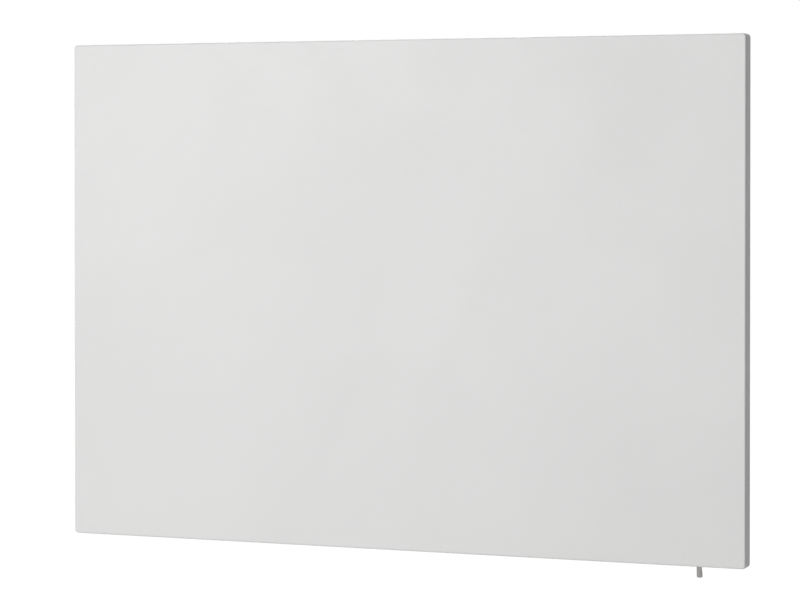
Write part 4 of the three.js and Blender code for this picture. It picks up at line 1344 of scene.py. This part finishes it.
@dataclass
class Hangers:
    """The two folded hooks on the rear cover."""

    sheet: float = 2.0 * MM
    bend: float = 3.5 * MM
    hook_drop: float = 12.0 * MM
    corner: float = 4.0 * MM
    hole: float = 2.2 * MM
    edge_break: float = 0.2 * MM

    def build(self, book: NodeBook) -> None:
        """Builds one hanger at its place, copies it for the other and enters both."""
        model = self.hanger()
        place = middle("hanger_right") - middle("hanger_left")
        twin = copied(model, piece_name("hanger_right"), Matrix.Translation(place))
        book.enter(model, "hanger_left")
        book.enter(twin, "hanger_right")

    def hanger(self) -> Piece:
        """Folds the left hanger.

        Returns:
            The hanger.
        """
        low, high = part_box("hanger_left")
        centre = middle("hanger_left")
        strip = start_sheet(piece_name("hanger_left"), Vector((centre.x, low.y, centre.z)),
                            high.x - low.x, high.z - low.z)
        with editing(strip):
            pick_edges(strip, on_level(Axis.Z, high.z))
            extrude_edges((0, high.y - low.y, 0))
            extrude_edges((0, 0, -self.hook_drop))
            pick_edges(strip, both(on_level(Axis.Z, high.z), along(Axis.X)))
            bevel(self.bend, 7)
        thicken(strip, -self.sheet)
        with editing(strip):
            for level in (low.z, high.z - self.hook_drop):
                pick_edges(strip, both(on_level(Axis.Z, level), along(Axis.Y)))
                bevel(self.corner, 6)
        reach = 3 * self.sheet
        for node in ("hanger_screw_1", "hanger_screw_2"):
            place = middle(node)
            drill = start_bar("drill", self.hole, -reach, reach, DRILL_STEPS)
            cut(strip, moved(drill, shifted(place.x, low.y, place.z, 90)))
        return shade(soften(strip, self.edge_break, 2, 50), 30)


@dataclass
class Standoffs:
    """The lower spacers with their rubber pads."""

    foot: float = 15.0 * MM
    foot_height: float = 3.0 * MM
    body: float = 12.0 * MM
    top: float = 10.5 * MM
    bore: float = 4.2 * MM
    screw_bore: float = 2.2 * MM
    rib_count: int = 6
    rib_width: float = 1.6 * MM
    rib_height: float = 8.0 * MM
    rib_root: float = 2.0 * MM
    foot_chamfer: float = 0.4 * MM
    foot_round: float = 0.8 * MM
    fillet: float = 1.2 * MM
    top_round: float = 1.0 * MM
    mouth_chamfer: float = 0.5 * MM
    bore_depth: float = 4.2 * MM
    edge_break: float = 0.15 * MM
    pad: float = 11.0 * MM
    pad_spigot: float = 4.0 * MM
    pad_thickness: float = 3.0 * MM
    pad_rim: float = 0.9 * MM
    pad_round: float = 0.5 * MM
    spigot_chamfer: float = 0.6 * MM
    ring_radii: tuple[float, ...] = (8.4 * MM, 6.0 * MM, 3.6 * MM)
    ring_mouth: float = 0.5 * MM
    ring_floor: float = 0.3 * MM
    ring_depth: float = 0.4 * MM

    def build(self, book: NodeBook) -> None:
        """Builds a standoff and a pad, copies each and enters all four."""
        for node, make in (("standoff", self.standoff), ("standoff_pad", self.pad_piece)):
            model = make()
            for side in ("left", "right"):
                name = f"{node}_{side}"
                place = middle(name)
                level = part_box(name)[0].y
                lay = shifted(place.x, level, place.z, -90)
                book.enter(copied(model, piece_name(name), lay), name)
            bpy.data.objects.remove(model)

    def standoff(self) -> Piece:
        """Makes a standoff along Z, its foot at 0.

        Returns:
            The standoff.
        """
        low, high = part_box("standoff_left")
        length = high.y - low.y
        foot, bore, floor = self.foot, self.bore, length - self.bore_depth
        low_bend, fillet, high_bend = self.foot_round, self.fillet, self.top_round
        profile = [
            (self.screw_bore, 0), (foot - self.foot_chamfer, 0), (foot, self.foot_chamfer),
            *arc(foot - low_bend, self.foot_height - low_bend, low_bend, 0, 90),
            *arc(self.body + fillet, self.foot_height + fillet, fillet, 270, 180),
            *arc(self.top - high_bend, length - high_bend, high_bend, 0, 90),
            (bore + self.mouth_chamfer, length), (bore, length - self.mouth_chamfer),
            (bore, floor), (0, floor),
            (0, length / 2), (self.screw_bore, length / 2), (self.screw_bore, 0),
        ]
        spacer = turned("standoff", profile, FINE_TURN_STEPS)
        for i in range(self.rib_count):
            fuse(spacer, self._rib(i))
        return shade(soften(spacer, self.edge_break, 2, 55), 35)

    def _rib(self, index: int) -> Piece:
        """Makes one of the small ribs between the foot and the body.

        Args:
            index: Which rib it is.

        Returns:
            The rib.
        """
        low = Vector((self.body - self.rib_root, -self.rib_width / 2, self.foot_height / 2))
        high = Vector((self.foot - self.foot_round, self.rib_width / 2,
                       self.foot_height + self.rib_height))
        rib = start_block("rib", low, high)
        with editing(rib):
            pick_edges(rib, both(on_level(Axis.X, high.x), on_level(Axis.Z, high.z)))
            bpy.ops.transform.translate(value=(self.body - high.x, 0, 0))
        return moved(rib, Matrix.Rotation(FULL_TURN * index / self.rib_count, 4, "Z"))

    def pad_piece(self) -> Piece:
        """Makes a rubber pad along Z, its spigot's end at 0.

        Returns:
            The pad.
        """
        low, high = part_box("standoff_pad_left")
        spigot = high.y - low.y - self.pad_thickness
        face = spigot + self.pad_thickness
        rim, bend, chamfer = self.pad_rim, self.pad_round, self.spigot_chamfer
        mouth, floor, deep = self.ring_mouth, self.ring_floor, face - self.ring_depth
        rings = []
        for radius in self.ring_radii:
            rings += [(radius + mouth, face), (radius + floor, deep),
                      (radius - floor, deep), (radius - mouth, face)]
        profile = [
            (0, 0), (self.pad_spigot - chamfer, 0), (self.pad_spigot, chamfer),
            (self.pad_spigot, spigot),
            *arc(self.pad - bend, spigot + bend, bend, 270, 360),
            *arc(self.pad - rim, face - rim, rim, 0, 90),
            *rings, (0, face),
        ]
        return shade(turned("pad", profile, FINE_TURN_STEPS), 35)


@dataclass
class TerminalBox:
    """The moulded box behind the panel's lower right, its gasket and its lid."""

    wall: float = 2.0 * MM
    corner: float = 5.0 * MM
    edge: float = 0.5 * MM
    boss: float = 3.6 * MM
    boss_hole: float = 1.45 * MM
    boss_inset: float = 4.8 * MM
    knockout: float = 8.0 * MM
    knockout_groove: float = 0.6 * MM
    knockout_depth: float = 0.5 * MM
    gland_hole: float = 8.2 * MM
    bushing_hole: float = 6.1 * MM
    grommet_hole: float = 6.2 * MM
    lid_edge: float = 0.8 * MM
    field_inset: float = 9.0 * MM
    field_depth: float = 0.5 * MM
    field_corner: float = 3.0 * MM
    field_edge: float = 0.3 * MM
    hollow_edge: float = 1.0 * MM
    gasket_edge: float = 0.3 * MM
    screw_hole: float = 1.8 * MM
    notch: float = 3.0 * MM
    notch_half: float = 0.8 * MM
    notch_outside: float = 1.6 * MM

    def build(self, book: NodeBook) -> None:
        """Builds the box, the gasket and the lid and enters them."""
        book.enter(self.box(), "terminal_box")
        book.enter(self.gasket(), "box_gasket")
        book.enter(self.lid(), "box_lid")

    def box(self) -> Piece:
        """Makes the box with its bosses, holes and knockouts.

        Returns:
            The box.
        """
        low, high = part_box("terminal_box")
        box = rounded_block(piece_name("terminal_box"), low, high, self.corner, self.edge,
                            corner_steps=10, edge_steps=3)
        inset = Vector((self.wall, self.wall, self.wall))
        top = high - inset
        top.y = high.y + 3 * self.wall
        hollow = rounded_block("hollow", low + inset, top, self.corner - self.wall,
                               self.hollow_edge, corner_steps=8, edge_steps=3)
        cut(box, hollow)
        depth = high.y - low.y
        for x, z in self._corners(low, high):
            post = start_bar("post", self.boss, 0, depth - self.wall / 2, SMALL_TURN_STEPS)
            fuse(box, moved(post, shifted(x, low.y + self.wall / 2, z, -90)))
        for x, z in self._corners(low, high):
            drill = start_bar("drill", self.boss_hole, self.wall, depth, DRILL_STEPS)
            cut(box, moved(drill, shifted(x, low.y + self.wall, z, -90)))
        cut(box, *self._wall_holes(low), *self._knockouts(low, high))
        return shade(box, 32)

    def _corners(self, low: Vector, high: Vector) -> list[tuple[float, float]]:
        """Gives the places of the four bosses as (x, z)."""
        xs = (low.x + self.boss_inset, high.x - self.boss_inset)
        zs = (low.z + self.boss_inset, high.z - self.boss_inset)
        return [(x, z) for x in xs for z in zs]

    def _wall_holes(self, low: Vector) -> list[Piece]:
        """Makes the drills of the gland, the switch, the grommet and the box's screws.

        Args:
            low: The box's lowest corner.

        Returns:
            The drills.
        """
        reach = 2 * self.wall
        gland, switch, grommet = (middle(n) for n in ("gland_body", "switch_nut",
                                                      "wire_grommet"))
        drills = [
            moved(start_bar("drill", self.gland_hole, -reach, reach),
                  shifted(low.x, gland.y, gland.z, 90, Axis.Y)),
            moved(start_bar("drill", self.bushing_hole, -reach, reach),
                  shifted(switch.x, switch.y, low.z)),
            moved(start_bar("drill", self.grommet_hole, -reach, reach),
                  shifted(grommet.x, low.y, grommet.z, 90)),
        ]
        for node in ("box_screw_1", "box_screw_2"):
            place = middle(node)
            drill = start_bar("drill", self.screw_hole, -reach, reach, DRILL_STEPS)
            drills.append(moved(drill, shifted(place.x, low.y, place.z, 90)))
        return drills

    def _knockouts(self, low: Vector, high: Vector) -> list[Piece]:
        """Makes the ring cutters of two closed cable knockouts, on top and at the right.

        Args:
            low: The box's lowest corner.
            high: Its highest corner.

        Returns:
            The cutters.
        """
        outer, inner = self.knockout, self.knockout - self.knockout_groove
        deep = self.knockout_depth
        centre = (low + high) / 2
        tools = []
        for place in (shifted(centre.x - 4 * self.corner, centre.y, high.z),
                      shifted(high.x, centre.y, centre.z + self.corner, 90, Axis.Y)):
            ring = turned("ring", [(inner, -deep), (outer, -deep), (outer, deep),
                                   (inner, deep), (inner, -deep)])
            tools.append(moved(ring, place))
        return tools

    def gasket(self) -> Piece:
        """Makes the rubber gasket between the box and the lid.

        Returns:
            The gasket.
        """
        low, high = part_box("box_gasket")
        gasket = rounded_block(piece_name("box_gasket"), low, high, self.corner,
                               self.gasket_edge, corner_steps=10, edge_steps=3)
        wall = self.wall
        inside_low = Vector((low.x + wall, low.y - wall, low.z + wall))
        inside_high = Vector((high.x - wall, high.y + wall, high.z - wall))
        inside = rounded_block("inside", inside_low, inside_high, self.corner - wall, 0,
                               corner_steps=10)
        return shade(cut(gasket, inside), 35)

    def lid(self) -> Piece:
        """Makes the lid with its sunk field and its prising notches.

        Returns:
            The lid.
        """
        low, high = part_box("box_lid")
        lid = rounded_block(piece_name("box_lid"), low, high, self.corner, self.lid_edge,
                            corner_steps=10, edge_steps=4)
        inset = self.field_inset
        field_low = Vector((low.x + inset, high.y - self.field_depth, low.z + inset))
        field_high = Vector((high.x - inset, high.y + 2 * self.field_depth, high.z - inset))
        field = rounded_block("field", field_low, field_high, self.field_corner,
                              self.field_edge, corner_steps=8, edge_steps=3)
        tools = [field]
        x = middle("box_lid").x
        for z in (low.z - self.notch_outside, high.z + self.notch_outside):
            notch = start_bar("notch", self.notch, -self.notch_half, self.notch_half,
                              SMALL_TURN_STEPS)
            tools.append(moved(notch, shifted(x, low.y, z, 90)))
        reach = 2 * self.wall
        for x, z in self._corners(low, high):
            drill = start_bar("drill", self.boss_hole, -reach, reach, DRILL_STEPS)
            tools.append(moved(drill, shifted(x, high.y, z, 90)))
        return shade(cut(lid, *tools), 32)


@dataclass
class CableGland:
    """The cable inlet in the box's left wall. It is drawn along +Z, outwards."""

    across: float = 20.0 * MM
    hex_height: float = 4.0 * MM
    thread_radius: float = 8.0 * MM
    inner_length: float = 8.0 * MM
    bore: float = 4.8 * MM
    collar: float = 7.7 * MM
    collar_wall: float = 1.5 * MM
    collar_length: float = 7.0 * MM
    cap_height: float = 10.0 * MM
    cap_dome: float = 4.0 * MM
    mouth: float = 4.6 * MM
    seal_bore: float = 3.9 * MM
    seat: float = 0.1 * MM
    chamfer: float = 0.9 * MM
    chamfer_ratio: float = 0.6
    pitch: float = 1.5 * MM
    thread_depth: float = 0.7 * MM
    collar_thread_depth: float = 0.5 * MM
    seal_round: float = 1.0 * MM
    seal_groove: float = 0.3 * MM
    lip_count: int = 3
    lip_depth: float = 0.5 * MM
    lip_half: float = 0.4 * MM
    lip_foot_half: float = 0.8 * MM
    cap_gap: float = 0.6 * MM
    cap_play: float = 0.3 * MM
    cap_overlap: float = 0.2 * MM
    cap_rim: float = 0.4 * MM
    cap_roof: float = 1.7 * MM
    mouth_round: float = 0.7 * MM
    mouth_rim: float = 0.9 * MM

    def build(self, book: NodeBook) -> None:
        """Builds the body, the seal and the cap and enters them."""
        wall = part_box("terminal_box")[0].x
        centre = middle("gland_body")
        lay = shifted(wall, centre.y, centre.z, -90, Axis.Y)
        for node, make in (("gland_body", self.body), ("gland_seal", self.seal),
                           ("gland_cap", self.cap)):
            piece = moved(make(), lay)
            piece.name = piece_name(node)
            book.enter(piece, node)

    def _hexagon(self, low: float, high: float, hole: float) -> Piece:
        """Makes a hexagon with turned corners and a round hole.

        Args:
            low: Where it starts.
            high: Where it ends.
            hole: The radius of its hole.

        Returns:
            The hexagon, two of its flats square to Y.
        """
        half_flat = math.radians(HALF_FLAT_TURN)
        corner = self.across / 2 / math.cos(half_flat)
        hexagon = start_bar("hexagon", corner, low, high, 6)
        moved(hexagon, Matrix.Rotation(half_flat, 4, "Z"))
        rim, rise = corner - self.chamfer, self.chamfer * self.chamfer_ratio
        limit = turned("limit", [
            (0, low), (rim, low), (corner, low + rise),
            (corner, high - rise), (rim, high), (0, high)])
        combine(hexagon, limit, Boolean.KEEP_SHARED)
        return cut(hexagon, start_bar("hole", hole, low - MM, high + MM))

    def body(self) -> Piece:
        """Makes the gland's body with its thread.

        Returns:
            The body.
        """
        low = self.seat
        top = low + self.hex_height + self.collar_length
        socket = self.collar - self.collar_wall
        level = low + self.hex_height
        sleeve = turned("sleeve", [
            (self.bore, -self.inner_length),
            *thread(self.thread_radius, self.thread_depth, self.pitch,
                    -self.inner_length, low),
            *thread(self.collar, self.collar_thread_depth, self.pitch, level, top),
            (socket, top), (socket, level), (self.bore, level),
            (self.bore, -self.inner_length)])
        hexagon = self._hexagon(low, level, self.bore + MM)
        return shade(fuse(hexagon, sleeve), 32)

    def seal(self) -> Piece:
        """Makes the rubber seal with its lips.

        Returns:
            The seal.
        """
        low = 2 * self.seat + self.hex_height
        top = low + self.collar_length
        radius = self.collar - self.collar_wall - self.seat
        bore, bend = self.seal_bore, self.seal_round
        root, half, foot_half = bore + self.lip_depth, self.lip_half, self.lip_foot_half
        groove = bore + self.seal_groove
        lips = []
        for i in range(self.lip_count, 0, -1):
            level = low + i * self.collar_length / (self.lip_count + 1)
            lips += [(root, level + foot_half), (bore, level + half),
                     (bore, level - half), (root, level - foot_half)]
        return shade(turned("seal", [
            (groove, low), (radius, low), *arc(radius - bend, top - bend, bend, 0, 90),
            (groove, top), *lips, (groove, low)]), 35)

    def cap(self) -> Piece:
        """Makes the clamping cap, a hexagon with a domed end.

        Returns:
            The cap.
        """
        low = self.seat + self.hex_height + self.cap_gap
        top = low + self.cap_height
        shoulder = top - self.cap_dome
        rim = self.across / 2 - self.cap_rim
        hollow = self.collar + self.cap_play
        roof = top - self.cap_roof
        bend = self.mouth_round
        dome = turned("dome", [
            (hollow, low + MM), (rim, low + MM), (rim, shoulder),
            *arc(rim - self.cap_dome, shoulder, self.cap_dome, 10, 70, 7),
            (self.mouth + self.mouth_rim, top),
            *arc(self.mouth + bend, top - bend, bend, 100, 180, 4),
            (self.mouth, roof), (hollow, roof), (hollow, low + MM)])
        hexagon = self._hexagon(low, shoulder, hollow - self.cap_overlap)
        return shade(fuse(hexagon, dome), 32)


@dataclass
class ToggleSwitch:
    """The on/off switch under the box. Its fixed parts are drawn along +Z, outwards."""

    barrel: float = 5.9 * MM
    bore: float = 3.6 * MM
    mouth: float = 4.9 * MM
    reach: float = 8.5 * MM
    flare: float = 3.0 * MM
    plate: float = 1.5 * MM
    box_wall: float = 2.0 * MM
    washer: float = 8.0 * MM
    nut_across: float = 14.0 * MM
    pivot_depth: float = 4.0 * MM
    lever_length: float = 20.26 * MM
    lever_root: float = 2.85 * MM
    lever_tip: float = 3.45 * MM
    lever_neck: float = 2.3 * MM
    tip_round: float = 1.3 * MM
    stub: float = 1.5 * MM
    stub_length: float = 5.0 * MM
    lean: float = 11.0
    seat: float = 0.1 * MM
    plate_corner: float = 1.5 * MM
    plate_edge: float = 0.2 * MM
    foot_relief: float = 0.3 * MM
    pitch: float = 0.75 * MM
    thread_depth: float = 0.35 * MM
    thread_start: float = 0.4 * MM
    end_chamfer: float = 0.5 * MM
    mouth_chamfer: float = 0.3 * MM
    washer_play: float = 0.2 * MM
    washer_chamfer: float = 0.15 * MM
    nut_play: float = 0.1 * MM
    nut_foot: tuple[float, float] = (0.2 * MM, 0.15 * MM)
    nut_chamfer: tuple[float, float] = (0.95 * MM, 0.5 * MM)
    nut_mouth: tuple[float, float] = (0.5 * MM, 0.4 * MM)
    nut_mouth_rise: float = 0.02 * MM
    nut_edge_break: float = 0.08 * MM
    ball_play: float = 0.3 * MM
    ball_angles: tuple[float, float] = (-54, 45)
    stub_chamfer: float = 0.3 * MM
    neck_start_ratio: float = 0.055
    neck_rise: float = 0.5 * MM
    neck_flare: float = 0.1 * MM
    taper_steps: int = 6
    taper_power: float = 0.9

    def build(self, book: NodeBook) -> None:
        """Builds the bushing, the washer, the nut and the lever and enters them."""
        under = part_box("terminal_box")[0].z
        centre = middle("switch_nut")
        lay = shifted(centre.x, centre.y, under, 180)
        for node, make in (("switch_bushing", self.bushing), ("switch_washer", self.ring),
                           ("switch_nut", self.nut)):
            piece = moved(make(), lay)
            piece.name = piece_name(node)
            book.enter(piece, node)
        lever = moved(self.lever(), shifted(centre.x, centre.y, under - self.pivot_depth,
                                            180 + self.lean))
        lever.name = piece_name("toggle_lever")
        book.enter(lever, "toggle_lever")

    def bushing(self) -> Piece:
        """Makes the threaded bushing with the plate inside the box.

        Returns:
            The bushing.
        """
        low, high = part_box("switch_bushing")
        half_x, half_y = (high.x - low.x) / 2, (high.y - low.y) / 2
        top = -self.box_wall - self.seat
        plate = rounded_block("plate", Vector((-half_x, -half_y, top - self.plate)),
                              Vector((half_x, half_y, top)), self.plate_corner,
                              self.plate_edge, Axis.Z, corner_steps=4, edge_steps=2)
        foot, end = top - self.plate / 2, self.reach
        barrel = turned("barrel", [
            (0, foot), (self.barrel - self.foot_relief, foot),
            *thread(self.barrel, self.thread_depth, self.pitch, top + self.thread_start,
                    end - self.end_chamfer),
            (self.barrel - self.end_chamfer, end), (0, end)])
        fuse(plate, barrel)
        under, rim = top - 2 * self.plate, self.mouth + self.mouth_chamfer
        drill = turned("drill", [
            (0, under), (self.bore, under), (self.bore, end - self.flare),
            (self.mouth, end - self.mouth_chamfer), (rim, end), (rim, end + MM),
            (0, end + MM)])
        return shade(cut(plate, drill), 32)

    def ring(self) -> Piece:
        """Makes the washer with its rolled edge.

        Returns:
            The washer.
        """
        low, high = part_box("switch_washer")
        thick = high.z - low.z
        inner, chamfer = self.barrel + self.washer_play, self.washer_chamfer
        start, end = self.seat, self.seat + thick
        bend = thick / 2
        return shade(turned("washer", [
            (inner + chamfer, start),
            *arc(self.washer - bend, start + bend, bend, 270, 450, 8),
            (inner + chamfer, end), (inner, end - chamfer),
            (inner, start + chamfer), (inner + chamfer, start)]), 35)

    def nut(self) -> Piece:
        """Makes the hexagon nut with chamfered corners, two of them on Y.

        Returns:
            The nut.
        """
        low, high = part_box("switch_nut")
        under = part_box("terminal_box")[0].z
        start, end = under - high.z, under - low.z
        corner = self.nut_across / 2 / math.cos(math.radians(HALF_FLAT_TURN))
        nut = start_bar("nut", corner, start, end, 6)
        foot_in, foot_up = self.nut_foot
        head_in, head_down = self.nut_chamfer
        limit = turned("limit", [
            (0, start), (corner - foot_in, start), (corner, start + foot_up),
            (corner, end - head_down), (corner - head_in, end), (0, end)], FINE_TURN_STEPS)
        combine(nut, limit, Boolean.KEEP_SHARED)
        bore = self.barrel + self.nut_play
        mouth_out, mouth_down = self.nut_mouth
        mouth = self.barrel + mouth_out
        cut(nut, turned("bore", [
            (0, start - MM), (bore, start - MM), (bore, end - mouth_down),
            (mouth, end + self.nut_mouth_rise), (mouth, end + MM), (0, end + MM)]))
        return shade(soften(nut, self.nut_edge_break, 2, 50), 30)

    def lever(self) -> Piece:
        """Makes the bat lever, its pivot at 0 and its tip along +Z.

        Returns:
            The lever.
        """
        ball = self.bore - self.ball_play
        root = self.reach - self.pivot_depth
        length, bend, tip = self.lever_length, self.tip_round, self.lever_tip
        foot, chamfer = -self.stub_length, self.stub_chamfer
        profile = [
            (0, foot), (self.stub - chamfer, foot), (self.stub, foot + chamfer),
            (self.stub, -ball), *arc(0, 0, ball, *self.ball_angles, 12),
            (self.lever_neck, ball + ball * self.neck_start_ratio),
            (self.lever_neck + self.neck_flare, ball + self.neck_rise),
            (self.lever_root, root),
        ]
        for i in range(1, self.taper_steps):
            share = i / self.taper_steps
            swell = (tip - self.lever_root) * share ** self.taper_power
            profile.append((self.lever_root + swell, root + (length - bend - root) * share))
        profile += [*arc(tip - bend, length - bend, bend, 0, 90, 8), (0, length)]
        return shade(turned("lever", profile, FINE_TURN_STEPS), 40)


# ---------- Studio ----------


@dataclass
class Studio:
    """The floor, the lamps, the world and the camera.

    Each lamp is its name, its place, the length of its side and its power in watts.
    """

    lamps: tuple[tuple[str, tuple[float, float, float], float, float], ...] = (
        ("key", (-1.5, -4.1, 0.5), 2.6, 127.0),
        ("rear", (-2.2, 3.6, 1.9), 4.0, 30.0),
        ("rake", (-0.6, 1.1, 2.3), 0.6, 34.0))
    floor_level: float = -2.6
    floor_size: float = 60.0
    floor_tone: Colour = (0.80, 0.80, 0.80)
    floor_glow: float = 0.87
    fill: float = 0.19
    lens: float = 127.32
    sensor: float = 36.0
    shift: float = -0.127
    tilt: float = 0.6142
    yaw: float = 22.2021
    place: tuple[float, float, float] = (1.26084, -3.12379, -0.04096)

    def build(self) -> None:
        """Sets the stage, the light and the camera."""
        self._floor()
        self._world()
        for lamp in self.lamps:
            self._lamp(*lamp)
        self._camera()
        bpy.context.scene.view_settings.view_transform = "Standard"

    def _floor(self) -> None:
        """Makes the pale floor, which looks white and keeps the heater's shadow."""
        bpy.ops.mesh.primitive_plane_add(size=self.floor_size,
                                         location=(0, 0, self.floor_level))
        floor = settle("floor")
        made = bpy.data.materials.new("floor_finish")
        made.use_nodes = True
        made.node_tree.nodes.clear()
        graph = Graph(made.node_tree)
        seen = self._seen(graph)
        diffuse = graph.put("ShaderNodeBsdfDiffuse", {"Color": (*self.floor_tone, 1.0)})
        glow = graph.put("ShaderNodeEmission", {
            "Color": (1, 1, 1, 1), "Strength": graph.math("MULTIPLY", seen,
                                                          self.floor_glow)})
        both = graph.put("ShaderNodeAddShader", {0: diffuse.outputs[0],
                                                 1: glow.outputs[0]})
        graph.put("ShaderNodeOutputMaterial", {"Surface": both.outputs[0]})
        floor.data.materials.append(made)

    def _seen(self, graph: Graph) -> Any:
        """Wires 1 for rays that show the backdrop to the eye, in metal and glass too."""
        path = graph.put("ShaderNodeLightPath")
        first = graph.math("MAXIMUM", path.outputs["Is Camera Ray"],
                           path.outputs["Is Glossy Ray"])
        return graph.math("MAXIMUM", first, path.outputs["Is Transmission Ray"])

    def _world(self) -> None:
        """Makes a world that looks white and lights softly."""
        world = bpy.data.worlds.new("studio")
        bpy.context.scene.world = world
        world.use_nodes = True
        world.node_tree.nodes.clear()
        graph = Graph(world.node_tree)
        strength = graph.spread(self._seen(graph), 0.0, 1.0, self.fill, 1.0)
        sky = graph.put("ShaderNodeBackground", {"Color": (1, 1, 1, 1),
                                                 "Strength": strength})
        graph.put("ShaderNodeOutputWorld", {"Surface": sky.outputs[0]})

    def _lamp(self, name: str, place: tuple[float, float, float], size: float,
              power: float) -> None:
        """Hangs a square soft lamp that points at the heater.

        Args:
            name: The lamp's name.
            place: Where it hangs.
            size: Its side.
            power: Its power in watts.
        """
        lamp = bpy.data.lights.new(name, "AREA")
        lamp.energy = power
        lamp.size = size
        holder = bpy.data.objects.new(name, lamp)
        bpy.context.scene.collection.objects.link(holder)
        holder.location = place
        aim = middle("front_panel") - Vector(place)
        holder.rotation_euler = aim.to_track_quat("-Z", "Y").to_euler()

    def _camera(self) -> None:
        """Sets the camera where the photograph was taken from.

        The photograph's horizon lies high in its frame. Most of that is shift, and
        the small rest is a tilt.
        """
        camera = bpy.data.cameras.new("camera")
        camera.sensor_width = self.sensor
        camera.lens = self.lens
        camera.shift_y = self.shift
        holder = bpy.data.objects.new("camera", camera)
        bpy.context.scene.collection.objects.link(holder)
        holder.location = self.place
        holder.rotation_euler = (QUARTER_TURN - math.radians(self.tilt), 0,
                                 math.radians(self.yaw))
        bpy.context.scene.camera = holder


def main() -> None:
    """Builds the heater's pieces in order, dresses the rest and sets the stage."""
    logging.basicConfig(level=logging.INFO, format="%(name)s: %(message)s")
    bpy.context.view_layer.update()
    book = NodeBook(frame["record"])
    for part in (PanelShell(), WallRail(), Hangers(), Standoffs(), ScrewSet(),
                 TerminalBox(), CableGland(), ToggleSwitch()):
        LOG.info("building %s", type(part).__name__)
        part.build(book)
    book.dress_plain_nodes()
    Studio().build()


if __name__ == "__main__":
    main()
